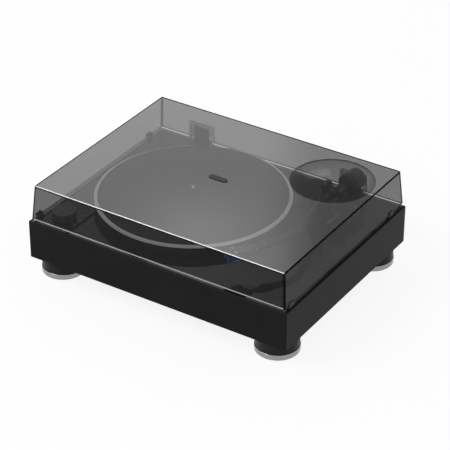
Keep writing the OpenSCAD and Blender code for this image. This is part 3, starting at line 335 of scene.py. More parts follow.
def setWorld(user):
    world = bpy.data.worlds.new("studio")
    bpy.context.scene.world = world
    sky = NodeTree(world)
    back = sky.first("BACKGROUND")
    sky.feed(back.inputs["Color"], (1, 1, 1))
    sky.feed(back.inputs["Strength"], sky.eyeRays() * (user["seen"] - user["lit"]) + user["lit"])


bpy.context.scene.view_settings.view_transform = "Standard"
addCamera(cameraUser)
addFloor(floorUser)
addLamps(lightUser)
setWorld(worldUser)
print("camera, floor and lamps placed")


# Plinth and feet


def plinthFinish(user):
    # mirror gloss on the deck, a softer sheen with a faint grain on the sides
    finish = Finish("plinthGloss", user["color"], user["sideRoughness"],
                    Coat_Roughness=user["coatRoughness"], IOR=user["index"])
    x, y, z = finish.axes()
    middle = (abs(x) < user["deckHalf"][0]) * (y > -user["deckHalf"][1])
    deck = (z > user["deckHeight"]) * middle
    grain = finish.noise(user["grain"], detail=4)
    haze = finish.noise(user["haze"], detail=3)
    side = user["sideRoughness"] + (grain - 0.5) * user["sideChange"]
    top = user["deckRoughness"] + haze * user["deckChange"]
    finish.set("Roughness", deck * top + (1 - deck) * side)
    finish.set("Coat Weight", deck * user["deckCoat"])
    finish.set("Base Color", finish.blend(haze, user["color"], user["worn"]))
    return finish.bump(grain * (1 - deck), user["grainDepth"], user["relief"])


def footFinish(user):
    # a satin drum with turning marks, a bright ring below it and a rubber sole
    finish = Finish("footTurned", user["drum"], user["drumRoughness"], IOR=user["index"])
    z = finish.axes()[2]
    band = (z > user["bandLow"]) * (z < user["bandHigh"])
    sole = z < user["sole"]
    turning = finish.noise(user["mark"], detail=3, stretch=user["markStretch"])
    color = finish.blend(band, user["drum"], user["band"])
    finish.set("Base Color", finish.blend(sole, color, user["rubber"]))
    finish.set("Metallic", band)
    rough = user["drumRoughness"] - band * user["bandSmoother"] + sole * user["soleRougher"]
    finish.set("Roughness", rough + (turning - 0.5) * user["markChange"])
    return finish.bump(turning, user["markDepth"], user["relief"])


plinthUser = {
    "color": (0.008, 0.008, 0.009),
    "worn": (0.013, 0.013, 0.014),
    "deckHeight": 90.3 * mm,
    "deckHalf": (220.6 * mm, 168.6 * mm),
    "deckRoughness": 0.012,
    "deckChange": 0.012,
    "deckCoat": 0.5,
    "coatRoughness": 0.015,
    "sideRoughness": 0.3,
    "sideChange": 0.12,
    "index": 1.12,
    "grain": 0.7 * mm,
    "grainDepth": 0.03 * mm,
    "relief": 0.2,
    "haze": 60 * mm,
}
footUser = {
    "drum": (0.009, 0.009, 0.01),
    "band": (0.3, 0.3, 0.31),
    "rubber": (0.02, 0.02, 0.02),
    "bandLow": 1.9 * mm,
    "bandHigh": 9.6 * mm,
    "sole": 1.8 * mm,
    "drumRoughness": 0.42,
    "bandSmoother": 0.2,
    "soleRougher": 0.3,
    "index": 1.25,
    "mark": 0.25 * mm,
    "markStretch": (0.02, 0.02, 1),
    "markChange": 0.14,
    "markDepth": 0.02 * mm,
    "relief": 0.3,
}
plinthFinish(plinthUser).on("plinth")
footFinish(footUser).on("foot_front_left", "foot_front_right", "foot_rear_left", "foot_rear_right")
print("plinth and feet finished")


# Plain finishes shared by small parts


plasticUser = {
    "cloud": 9 * mm,
    "lighter": 1.35,
    "pale": 0.002,
    "fineChange": 0.15,
    "slowChange": 0.08,
    "relief": 0.4,
}
metalUser = {
    "cloud": 12 * mm,
    "darker": 0.86,
    "change": 0.16,
    "depth": 0.01 * mm,
    "relief": 0.25,
}
paintUser = {
    "cloud": 14 * mm,
    "lighter": 1.5,
    "pale": 0.003,
    "change": 0.12,
    "relief": 0.35,
}


def mouldedPlastic(name, color, roughness, grain, depth=0.02 * mm, user=plasticUser):
    # spark-eroded mould texture with a slow change of sheen
    finish = Finish(name, color, roughness)
    fine = finish.noise(grain, detail=3)
    slow = finish.noise(user["cloud"], detail=2)
    lighter = [min(1, c * user["lighter"] + user["pale"]) for c in color]
    finish.set("Base Color", finish.blend(slow, color, lighter))
    rough = roughness + (fine - 0.5) * user["fineChange"]
    finish.set("Roughness", rough + (slow - 0.5) * user["slowChange"])
    return finish.bump(fine, depth, user["relief"])


def machinedMetal(name, color, roughness, stretch, grain=0.2 * mm, user=metalUser):
    # tool marks, drawn out where stretch is small
    finish = Finish(name, color, roughness, 1.0)
    marks = finish.noise(grain, detail=4, stretch=stretch)
    slow = finish.noise(user["cloud"], detail=2)
    darker = [c * user["darker"] for c in color]
    finish.set("Base Color", finish.blend(slow, darker, color))
    finish.set("Roughness", roughness + (marks - 0.5) * user["change"])
    return finish.bump(marks, user["depth"], user["relief"])


def paintedMetal(name, color, roughness, grain=0.5 * mm, depth=0.015 * mm, user=paintUser):
    # powder coat: rounded grains, a little polished where hands reach
    finish = Finish(name, color, roughness)
    grains = finish.noise(grain, detail=2)
    wear = finish.noise(user["cloud"], detail=3)
    lighter = [c * user["lighter"] + user["pale"] for c in color]
    finish.set("Base Color", finish.blend(wear, color, lighter))
    finish.set("Roughness", roughness + (wear - 0.5) * user["change"])
    return finish.bump(grains, depth, user["relief"])


# how the marks of the tool are drawn out, along x, y and z
turned = (0.03, 0.03, 1)
turnedAcross = (0.05, 1, 0.05)
drawnAlong = (1, 0.05, 1)
evenly = (1, 1, 1)
machinedMetal("bearingBrass", (0.78, 0.6, 0.3), 0.3, turned).on("bearing_housing", "motor_pulley")
machinedMetal("motorCan", (0.5, 0.51, 0.53), 0.35, turned).on("motor")
machinedMetal("turnedSteel", (0.72, 0.72, 0.74), 0.2, turned).on("spindle", "switch_shaft")
machinedMetal("screwSteel", (0.62, 0.62, 0.64), 0.28, evenly, 0.3 * mm).on(
    "bottom_screws", "machine_screws", "arm_base_screws", "cartridge_screws", "hinge_pins", "ground_post")
machinedMetal("goldPlate", (0.86, 0.64, 0.28), 0.18, drawnAlong).on(
    "output_sockets", "ground_nut", "pivot_screws", "block_screw")
machinedMetal("leverAlloy", (0.16, 0.16, 0.165), 0.3, drawnAlong).on("cue_lever")


def collarFinish(user):
    # black turned sleeve with one bright metal line near its rear end, painted there as the collar's
    # highlight
    finish = Finish("collarBlack", user["color"], user["roughness"])
    x, y = finish.axes()[:2]
    back = heading(user["turn"]) * -1
    along = (x - user["start"][0]) * back.x + (y - user["start"][1]) * back.y
    line = (along > user["line"][0]) * (along < user["line"][1])
    knurl = finish.noise(user["knurl"], detail=3)
    finish.set("Base Color", finish.blend(line, user["color"], user["bright"]))
    finish.set("Metallic", line * (user["lineMetal"] - user["metal"]) + user["metal"])
    finish.set("Roughness", user["roughness"] + (knurl - 0.5) * user["change"])
    return finish.bump(knurl * (1 - line), user["depth"], user["relief"])


collarUser = {
    "color": (0.015, 0.015, 0.016),
    # bright: silver of the line, a painted highlight
    "bright": (0.85, 0.85, 0.86),
    "turn": -33.0,
    "start": (133.18 * mm, -87.75 * mm),
    "line": (1.1 * mm, 2.0 * mm),
    "lineMetal": 0.95,
    "metal": 0.6,
    "roughness": 0.25,
    "knurl": 0.35 * mm,
    "change": 0.12,
    "depth": 0.01 * mm,
    "relief": 0.3,
}
collarFinish(collarUser).on("locking_collar")
mouldedPlastic("thrustNylon", (0.8, 0.8, 0.77), 0.4, 0.4 * mm).on("thrust_pad", "line_switch")
mouldedPlastic("stylusHolder", (0.72, 0.73, 0.75), 0.3, 0.3 * mm).on("stylus")
mouldedPlastic("blackPlastic", (0.018, 0.018, 0.019), 0.42, 0.35 * mm).on(
    "rear_panel", "power_inlet", "speed_switch", "cue_lift", "cue_block", "arm_rest", "rest_clip",
    "hinge_bases", "hinge_leaves")
mouldedPlastic("platePlastic", (0.004, 0.004, 0.0045), 0.6, 0.3 * mm).on("cover_plate")
paintedMetal("bottomSheet", (0.03, 0.03, 0.031), 0.5, 0.8 * mm, 0.04 * mm).on("bottom_cover")
paintedMetal("armPaint", (0.02, 0.02, 0.021), 0.3).on(
    "arm_base_plate", "height_lock", "arm_board", "cue_cylinder", "arm_yoke", "arm_block", "headshell")
paintedMetal("tubeGloss", (0.014, 0.014, 0.015), 0.12, 1.2 * mm, 0.004 * mm).on("arm_tube")
paintedMetal("knobGloss", (0.04, 0.04, 0.042), 0.3, 1.0 * mm, 0.004 * mm).on("speed_knob")
machinedMetal("ringAnodised", (0.06, 0.06, 0.063), 0.35, turned).on("height_ring", "anti_skate_dial")
machinedMetal("weightSteel", (0.09, 0.09, 0.095), 0.3, turnedAcross).on("counterweight")
machinedMetal("dialAlloy", (0.06, 0.06, 0.062), 0.34, turnedAcross).on("force_dial")


def beltFinish(user):
    # ground rubber with a faint weave of grinding marks and talc
    finish = Finish("beltRubber", user["color"], user["roughness"])
    talc = finish.noise(user["talc"], detail=5)
    finish.set("Base Color", finish.blend(talc, user["color"], user["dusty"]))
    marks = finish.noise(user["mark"], detail=2, stretch=user["markStretch"])
    return finish.bump(marks, user["depth"], user["relief"])


beltUser = {
    "color": (0.016, 0.016, 0.016),
    "dusty": (0.0416, 0.0416, 0.0416),
    "roughness": 0.7,
    "talc": 4 * mm,
    "mark": 0.3 * mm,
    "markStretch": (1, 1, 0.2),
    "depth": 0.03 * mm,
    "relief": 0.5,
}
beltFinish(beltUser).on("drive_belt", "cover_bumpers")


def boardFinish(user):
    # green solder mask with copper runs under it and darker parts standing on it
    finish = Finish("circuitBoard", user["mask"], user["roughness"])
    x, y, z = finish.axes()
    wander = finish.noise(user["runLength"], detail=1) * user["wander"]
    runs = ((x / user["pitch"]).sine() * (wander + y / user["pitch"]).sine()) > user["runEdge"]
    mask = finish.blend(runs, user["mask"], user["copper"])
    raised = z > user["top"]
    finish.set("Base Color", finish.blend(raised, mask, user["part"]))
    finish.set("Roughness", user["roughness"] + finish.noise(user["flux"]) * user["fluxChange"])
    return finish.bump(runs * (1 - raised), user["runDepth"], user["relief"])


boardUser = {
    "mask": (0.01, 0.09, 0.03),
    "copper": (0.03, 0.17, 0.06),
    "part": (0.015, 0.016, 0.02),
    "roughness": 0.32,
    "pitch": 1.1 * mm,
    "runLength": 18 * mm,
    "wander": 9,
    "runEdge": 0.35,
    "runDepth": 0.03 * mm,
    "relief": 0.6,
    "flux": 2 * mm,
    "fluxChange": 0.2,
    "top": 41.8 * mm,
}
boardFinish(boardUser).on("main_board")


def cartridgeFinish(user):
    # clear-coated blue moulding
    finish = Finish("cartridgeBlue", user["color"], user["roughness"],
                    Coat_Weight=user["coat"], Coat_Roughness=user["coatRoughness"])
    fine = finish.noise(user["grain"], detail=3)
    finish.set("Base Color", finish.blend(finish.noise(user["cloud"]), user["color"], user["lighter"]))
    finish.set("Roughness", user["roughness"] + (fine - 0.5) * user["change"])
    return finish.bump(fine, user["depth"], user["relief"])


cartridgeUser = {
    "color": (0.02, 0.1, 0.42),
    "lighter": (0.028, 0.14, 0.588),
    "roughness": 0.25,
    "coat": 0.5,
    "coatRoughness": 0.05,
    "grain": 0.5 * mm,
    "cloud": 6 * mm,
    "change": 0.1,
    "depth": 0.01 * mm,
    "relief": 0.3,
}
cartridgeFinish(cartridgeUser).on("cartridge")
print("small parts finished")


# Platter


def platterFinish(user):
    # black coat with a bright cut bevel at the top of the rim
    finish = Finish("platterCast", user["coat"], user["castRoughness"],
                    Coat_Roughness=user["clearRoughness"])
    z = finish.axes()[2]
    r = finish.radius(user["center"])
    bevel = (z > user["bevelLow"]) * (r > user["bevelInner"])
    turning = ((r + z) * user["turning"]).sine()
    haze = finish.noise(user["haze"], detail=3)
    cast = user["castRoughness"] + haze * user["castChange"]
    cut = user["cutRoughness"] + haze * user["cutChange"]
    finish.set("Base Color", finish.blend(bevel, user["coat"], user["cut"]))
    finish.set("Metallic", bevel)
    finish.set("Roughness", bevel * cut + (1 - bevel) * cast)
    finish.set("Coat Weight", (1 - bevel) * user["clear"])
    return finish.bump(turning * bevel, user["turningDepth"], user["relief"])


def matFinish(user):
    # dark rubber, a fine moulded grain over shallow rings
    finish = Finish("matRubber", user["color"], user["roughness"])
    r = finish.radius(user["center"])
    rings = (r * (2 * math.pi / user["ringPitch"])).sine()
    fine = finish.noise(user["grain"], detail=3)
    slow = finish.noise(user["cloud"], detail=3)
    finish.set("Base Color", finish.blend(slow, user["color"], user["pale"]))
    rough = user["roughness"] + (fine - 0.5) * user["fineChange"]
    finish.set("Roughness", rough + (slow - 0.5) * user["slowChange"])
    return finish.bump(rings * user["ringShare"] + fine, user["depth"], user["relief"])


spindleAt = (-46.5 * mm, 3 * mm)
platterUser = {
    "center": spindleAt,
    "coat": (0.012, 0.012, 0.013),
    "cut": (0.95, 0.95, 0.955),
    "clear": 0.5,
    "clearRoughness": 0.04,
    "castRoughness": 0.1,
    "castChange": 0.08,
    "cutRoughness": 0.26,
    "cutChange": 0.06,
    "haze": 30 * mm,
    "bevelLow": 106.9 * mm,
    "bevelInner": 144.2 * mm,
    "turning": 2 * math.pi / (0.35 * mm),
    "turningDepth": 0.006 * mm,
    "relief": 0.25,
}
matUser = {
    "center": spindleAt,
    "color": (0.026, 0.026, 0.027),
    "pale": (0.036, 0.036, 0.037),
    "roughness": 0.62,
    "fineChange": 0.12,
    "slowChange": 0.1,
    "ringPitch": 1.6 * mm,
    "ringShare": 0.5,
    "grain": 0.6 * mm,
    "cloud": 50 * mm,
    "depth": 0.008 * mm,
    "relief": 0.3,
}
platterFinish(platterUser).on("platter")
matFinish(matUser).on("platter_mat")
machinedMetal("innerAlloy", (0.5, 0.5, 0.52), 0.35, turned).on("inner_platter")
print("platter finished")


# Dust cover

coverUser = {
    "left": -220.4 * mm,
    "right": 220.4 * mm,
    "front": -169 * mm,
    "back": 171 * mm,
    "low": 95 * mm,
    "high": 151.5 * mm,
    "lean": 4.6 * mm,  # how far the walls lean in from foot to roof
    "wall": 3 * mm,
    "edge": 0.9 * mm,  # chamfer of the outer edges
    "glow": 1.4 * mm,  # height of the pale strip along the front foot, a painted glow of light leaving the sheet's edge
    "bubble": (145 * mm, 87 * mm),
    "bubbleRadius": 64 * mm,
    "bubbleRise": 15 * mm,
    # what the bubble's sheet takes more, near its foot and where it is looked through the long way
    "footShare": 0.18,
    "rimShade": 0.16,
    "glanceShade": 0.42,
    "coatFade": 1.5,
    "steps": 128,
    "rings": 24,
    "smoothUnder": 20,
    "gloss": 0.03,
    "change": 0.015,
    "hair": 1.2 * mm,
    "hairStretch": (1, 0.05, 1),
    "hairEdge": 0.74,
    "cloud": 90 * mm,
    "lighter": 1.4,
    "blue": 1.04,  # the tint's blue against its red and green
    "notchWidth": 34 * mm,
    "notchHeight": 9 * mm,
    "notchFromMiddle": 138 * mm,
    # part: shade, light lost at the face, refractive index, weight of the clear coat
    "finishes": {
        "roof": (0.012, 0.62, 1.55, 0),
        "front": (0.012, 0.62, 1.2, 0),
        "walls": (0.012, 0.62, 1.3, 0),
        "inside": (0.012, 0.05, 1.2, 0),
        "edges": (0.006, 0.96, 1.02, 0),
        # rim: pale grey foot strip and foot faces, a painted glow of light leaving the sheet's edge
        "rim": (0.38, 0.94, 1.3, 0),
        "glint": (0.02, 0.95, 1.8, 0),
        "bubble": (0.01, 0.58, 1.02, 0.54),
    },
}
coverParts = list(coverUser["finishes"])


def coverFinish(user, part):
    # tinted clear sheet with a slow sheen and faint hairlines
    shade, opacity, index, coat = user["finishes"][part]
    smoke = (shade, shade, shade * user["blue"])
    finish = Finish("smoked" + part.capitalize(), smoke, user["gloss"],
                    IOR=index, Alpha=opacity, Coat_Roughness=user["gloss"])
    hair = finish.noise(user["hair"], detail=3, stretch=user["hairStretch"])
    slow = finish.noise(user["cloud"], detail=2)
    rough = user["gloss"] + slow * user["change"]
    finish.set("Roughness", rough + (hair > user["hairEdge"]) * user["change"])
    finish.set("Base Color", finish.blend(slow, smoke, [c * user["lighter"] for c in smoke]))
    if part == "bubble":
        # the curved sheet is looked through the long way at its far side, where its coat fades too
        weight = finish.add("ShaderNodeLayerWeight", values={"Blend": 0.5})
        glance = Field(finish, weight.outputs["Facing"])
        footWidth = user["bubbleRadius"] * user["footShare"]
        foot = (finish.radius(user["bubble"]) - (user["bubbleRadius"] - footWidth)) / footWidth
        rim = finish.maths("MULTIPLY", foot, user["rimShade"], clamp=True)
        finish.set("Alpha", opacity + rim + glance ** 2 * user["glanceShade"])
        kept = 1 - glance ** 3 * user["coatFade"]
        finish.set("Coat Weight", finish.maths("MULTIPLY", kept, coat, clamp=True))
    return finish


def coverCorners(bm, user, inset, low, high):
    # the four low and four high corners of a block that leans in, drawn inset from the outer faces
    rings = []
    slope = user["lean"] / (user["high"] - user["low"])
    for z in (low, high):
        shift = inset + slope * (z - user["low"])
        x0, x1 = user["left"] + shift, user["right"] - shift
        y0, y1 = user["front"] + shift, user["back"] - shift
        rings.append([bm.verts.new((x, y, z)) for x, y in ((x0, y0), (x1, y0), (x1, y1), (x0, y1))])
    return rings


def bubbleRings(bm, user, ballShift, topZ):
    # rings of the bubble, a cap cut from a ball, from its foot at topZ up to its crown
    foot, rise, steps = user["bubbleRadius"], user["bubbleRise"], user["steps"]
    ball = (foot ** 2 + rise ** 2) / (2 * rise)
    middle = user["high"] + rise - ball
    ball -= ballShift
    reach = math.acos((topZ - middle) / ball)
    rings = []
    for k in range(user["rings"]):
        fall = reach * (1 - k / user["rings"])
        radius, z = ball * math.sin(fall), middle + ball * math.cos(fall)
        rings.append(ringOf(bm, user["bubble"], radius, z, steps))
    crown = bm.verts.new((*user["bubble"], middle + ball))
    for low, high in zip(rings, rings[1:]):
        for i in range(steps):
            bm.faces.new((low[i], low[(i + 1) % steps], high[(i + 1) % steps], high[i]))
    for i in range(steps):
        bm.faces.new((rings[-1][i], rings[-1][(i + 1) % steps], crown))
    return rings[0]


def sheetAround(bm, corners, ring):
    # flat sheet between four corners and the bubble's foot: each corner fans out to its quarter of the ring
    quarter = len(ring) // 4
    for i in range(4):
        corner = corners[(i + 2) % 4]
        for k in range(i * quarter, (i + 1) * quarter):
            bm.faces.new((corner, ring[k], ring[(k + 1) % len(ring)]))
        bm.faces.new((corners[(i + 1) % 4], corner, ring[i * quarter]))


def outerWall(bm, rows, reach, parts):
    # one leaning wall with strips of other finishes at its two corners, foot and top
    cells = []
    for left, right in rows:
        share = reach / (right.co - left.co).length
        inner = [bm.verts.new(left.co.lerp(right.co, part)) for part in (share, 1 - share)]
        cells.append([left, *inner, right])
    for row, above, part in zip(cells, cells[1:], parts):
        for k in range(3):
            cell = bm.faces.new((row[k], row[k + 1], above[k + 1], above[k]))
            cell.material_index = coverParts.index(part if k == 1 else "edges")
    return cells[0], cells[-1]


def cutNotch(piece, user, side):
    # opening in the rear wall's foot for a hinge
    cutter = bmesh.new()
    bmesh.ops.create_cube(cutter, size=1)
    size = (user["notchWidth"], 5 * user["wall"], 2 * user["notchHeight"])
    place = (side * user["notchFromMiddle"], user["back"], user["low"])
    bmesh.ops.scale(cutter, vec=size, verts=cutter.verts)
    bmesh.ops.translate(cutter, vec=place, verts=cutter.verts)
    mesh = bpy.data.meshes.new("notch")
    cutter.to_mesh(mesh)
    cutter.free()
    tool = putObject("notch", mesh)
    cut = piece.modifiers.new("notch", "BOOLEAN")
    cut.object = tool
    cut.operation = "DIFFERENCE"
    cut.solver = "EXACT"
    bpy.context.view_layer.update()
    bpy.context.view_layer.objects.active = piece
    bpy.ops.object.modifier_apply(modifier="notch")
    bpy.data.objects.remove(tool)


def markFaces(bm, count, part):
    # gives the faces made after the first count of them to a part of the cover
    for face in list(bm.faces)[count:]:
        face.material_index = coverParts.index(part)
    return len(bm.faces)


def dustCover(user, finishes):
    bm = bmesh.new()
    wall = user["wall"]
    under = user["high"] - wall
    outerLow, outerHigh = coverCorners(bm, user, 0, user["low"], user["high"])
    innerLow, innerHigh = coverCorners(bm, user, wall, user["low"], under)
    rings = [outerLow]
    for z in (user["low"] + user["glow"], under):
        share = (z - user["low"]) / (user["high"] - user["low"])
        pairs = zip(outerLow, outerHigh)
        rings.append([bm.verts.new(low.co.lerp(high.co, share)) for low, high in pairs])
    rings.append(outerHigh)
    inward = [Vector((x, y, 0)) * wall for x, y in ((1, 1), (-1, 1), (-1, -1), (1, -1))]
    border = [bm.verts.new(corner.co + step) for corner, step in zip(outerHigh, inward)]
    sharp = []
    # the walls in turn: front, right, rear, left
    for i in range(4):
        j = (i + 1) % 4
        # the front wall's foot strip and the front and left foot faces take the pale rim finish, a painted
        # glow
        parts = ("walls", "walls", "edges") if i else ("rim", "front", "edges")
        foot, top = outerWall(bm, [(ring[i], ring[j]) for ring in rings], wall, parts)
        inside = bm.faces.new((innerLow[j], innerLow[i], innerHigh[i], innerHigh[j]))
        inside.material_index = coverParts.index("inside")
        rim = bm.faces.new((*reversed(foot), innerLow[i], innerLow[j]))
        rim.material_index = coverParts.index("edges" if i in (1, 2) else "rim")
        strip = bm.faces.new((*top, border[j], border[i]))
        strip.material_index = coverParts.index("roof" if i < 2 else "edges")
        sharp += [bm.edges.get(pair) for pair in zip(top, top[1:])]
        sharp += [bm.edges.get((low[i], high[i])) for low, high in zip(rings, rings[1:])]
    count = len(bm.faces)
    ring = bubbleRings(bm, user, 0, user["high"])
    count = markFaces(bm, count, "bubble")
    sheetAround(bm, border, ring)
    count = markFaces(bm, count, "roof")
    sheetAround(bm, innerHigh, bubbleRings(bm, user, wall, under))
    markFaces(bm, count, "inside")
    bmesh.ops.recalc_face_normals(bm, faces=bm.faces)
    bmesh.ops.bevel(bm, geom=sharp, offset=user["edge"], offset_type="OFFSET", segments=1, profile=0.5,
                    affect="EDGES", clamp_overlap=True, material=coverParts.index("edges"))
    piece = addPiece(bm, "smokedCover", "cover", finishes[0], user["smoothUnder"])
    for finish in finishes[1:]:
        piece.data.materials.append(finish.material)
    for side in (-1, 1):
        cutNotch(piece, user, side)
    # the chamfer between roof and front wall is polished and shines
    for face in piece.data.polygons:
        if face.normal.y < -0.5 and face.normal.z > 0.5:
            face.material_index = coverParts.index("glint")
    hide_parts("dust_cover")


dustCover(coverUser, [coverFinish(coverUser, part) for part in coverParts])


def pocketFinish(user):
    # the same sheet bent round each hinge leaf; its front borders are painted pale, a painted highlight on
    # the bent edges
    finish = Finish("pocketSheet", user["smoke"], user["roughness"], IOR=user["index"])
    x, y, z = finish.axes()
    facing = finish.parts(finish.add("ShaderNodeTexCoord").outputs["Normal"])[1]
    sides = abs(abs(x) - user["middle"]) > user["halfWidth"] - user["border"]
    border = finish.maths("MAXIMUM", sides, z > user["top"] - user["border"])
    # the front borders get a pale colour and more opacity: painted highlight
    front = border * (facing < -0.5)
    slow = finish.noise(user["cloud"], detail=3)
    finish.set("Roughness", user["roughness"] + slow * user["change"])
    finish.set("Alpha", front * (user["paintedHighlightOpacity"] - user["opacity"]) + user["opacity"])
    return finish.set("Base Color", finish.blend(front * (0.8 + slow * 0.2), user["smoke"], user["edge"]))


pocketUser = {
    "smoke": (0.02, 0.02, 0.021),
    # edge: colour of the painted highlight on the front borders
    "edge": (0.8, 0.8, 0.81),
    "opacity": 0.3,
    "paintedHighlightOpacity": 0.85,
    "middle": 138 * mm,
    "halfWidth": 22 * mm,
    "top": 125.6 * mm,
    "border": 3.2 * mm,
    "roughness": 0.04,
    "change": 0.1,
    "index": 1.3,
    "cloud": 5 * mm,
}
pocketFinish(pocketUser).on("hinge_pockets")
print("cover built")


# Marks, slots and leads

inkAndShadeUser = {
    "lift": 0.03 * mm,
    "roughness": 0.5,
    "change": 0.2,
    "wear": 0.8 * mm,
    "darker": 0.8,
}
barDepth = 2 * inkAndShadeUser["lift"]


def printFinish(user, name, color):
    # screen-printed ink: flat, slightly worn through; also used for the painted shade of the screw slots
    finish = Finish(name, color, user["roughness"])
    worn = finish.noise(user["wear"], detail=4)
    finish.set("Base Color", finish.blend(worn, color, [c * user["darker"] for c in color]))
    return finish.set("Roughness", user["roughness"] + (worn - 0.5) * user["change"])


whiteInk = printFinish(inkAndShadeUser, "whiteInk", (0.75, 0.75, 0.74))
darkInk = printFinish(inkAndShadeUser, "darkInk", (0.02, 0.02, 0.02))
# slotShade: near-black bars painted as the shade inside the screw slots
slotShade = printFinish(inkAndShadeUser, "slotShade", (0.006, 0.006, 0.006))


def turnTo(axis, spin=0.0):
    # rotation that takes +Z to axis, after a spin about +Z
    return Vector(axis).to_track_quat("Z", "Y").to_matrix().to_4x4() @ Matrix.Rotation(spin, 4, "Z")


def inked(text, name, size, matrix, body, finish):
    # printed characters, half sunk in the surface that matrix lays them on
    curve = bpy.data.curves.new(name, "FONT")
    curve.body = text
    curve.size = size
    curve.align_x = "CENTER"
    curve.align_y = "CENTER"
    curve.extrude = inkAndShadeUser["lift"]
    mesh = meshOf(curve)
    mesh.transform(matrix)
    settle(mesh, name, body, finish)


def bars(name, rows, body, finish):
    # one mesh of thin bars; each row is a matrix and the bar's three sizes
    bm = bmesh.new()
    for matrix, size in rows:
        made = bmesh.ops.create_cube(bm, size=1)["verts"]
        bmesh.ops.scale(bm, vec=size, verts=made)
        bmesh.ops.transform(bm, matrix=matrix, verts=made)
    addPiece(bm, name, body, finish)


def slotRows(center, axis, width, length, cross, spin):
    # a screwdriver slot, or two of them crossed, seen in a head's face
    turn = Matrix.Translation(center) @ turnTo(axis, spin)
    rows = [(turn, (length, width, barDepth))]
    if cross:
        rows.append((turn, (width, length, barDepth)))
    return rows


pivot = Vector((146.5, 93.5, 129)) * mm
tubeTurn = -7.0
shellTurn = -33.0
tubeEnd = Vector((133.18, -87.75, 129)) * mm
armBack = -heading(tubeTurn)
armSide = Vector((-armBack.y, armBack.x, 0))


def shellPoint(x, y, z):
    # across, along and above the shell, in mm from the end of the arm's tube
    turn = Matrix.Rotation(math.radians(shellTurn), 3, "Z")
    return tubeEnd + turn @ (Vector((x, y, z)) * mm)


screwUser = {
    "baseTurns": (100, 220, 340),
    "baseReach": 33 * mm,
    "baseFace": 96.01 * mm,
    "corner": (170 * mm, 117 * mm),
    "middle": 151 * mm,
    "bottomFace": 27.99 * mm,
    "crossLength": 3.4 * mm,
    "crossWidth": 0.8 * mm,
    "slotWidth": 0.7 * mm,
    # how far the slots are turned from one screw to the next, in radians
    "baseSpin": 0.7,
    "bottomSpin": 0.9,
    "shellSpin": 0.635,
    "blockSpin": 0.4,
    "pivotSpin": 0.5,
    "shell": (6.35, -45, 2.61),  # in mm, as shellPoint takes it
    "shellLength": 4 * mm,
    "blockFace": 10.81 * mm,
    "blockLength": 4.2 * mm,
    "pivotFace": 19.61 * mm,
    "pivotLength": 6 * mm,
}


def screwSlots(user):
    # the slots are flat near-black bars on each head: painted shade in place of a recess
    rows = []
    width, length = user["crossWidth"], user["crossLength"]
    for i, degrees in enumerate(user["baseTurns"]):
        turn, reach = math.radians(degrees), user["baseReach"]
        place = (pivot.x + reach * math.cos(turn), pivot.y + reach * math.sin(turn), user["baseFace"])
        rows += slotRows(place, (0, 0, 1), width, length, True, i * user["baseSpin"])
    x, y = user["corner"]
    bottom = [(-x, -y), (-x, y), (x, -y), (x, y), (0, user["middle"]), (0, -user["middle"])]
    for i, (x, y) in enumerate(bottom):
        place = (x, y, user["bottomFace"])
        rows += slotRows(place, (0, 0, -1), width, length, True, i * user["bottomSpin"])
    bars("screwCrosses", rows, "base", slotShade)
    width = user["slotWidth"]
    x, y, z = user["shell"]
    shellRows, pivotRows = [], []
    for side in (-1, 1):
        place = shellPoint(side * x, y, z)
        spin = side * user["shellSpin"]
        shellRows += slotRows(place, (0, 0, 1), width, user["shellLength"], False, spin)
        place = pivot + armSide * side * user["pivotFace"]
        spin = side * user["pivotSpin"]
        pivotRows += slotRows(place, armSide * side, width, user["pivotLength"], False, spin)
    bars("shellScrewSlots", shellRows, "tonearm", slotShade)
    place = pivot + Vector((0, 0, user["blockFace"]))
    blockRows = slotRows(place, (0, 0, 1), width, user["blockLength"], False, user["blockSpin"])
    bars("blockScrewSlot", blockRows, "tonearm", slotShade)
    bars("pivotScrewSlots", pivotRows, "arm_yoke", slotShade)


screwSlots(screwUser)

knobUser = {
    "center": (-187 * mm, -133 * mm),
    "top": 103.4 * mm,
    "pointer": -20.0,
    "dotReach": 15.2 * mm,
    "dotRadius": 1.1 * mm,
    "marks": [("OFF", -20.0), ("33", 11.0), ("45", 38.6)],
    "tickReach": 21 * mm,
    "tickLength": 2.2 * mm,
    "labelReach": 26 * mm,
    "labelSize": 3.4 * mm,
    "letter": 1.2 * mm,
    "deck": 91.03 * mm,
    "tickWidth": 0.5 * mm,
    "dotHeight": 0.12 * mm,
}


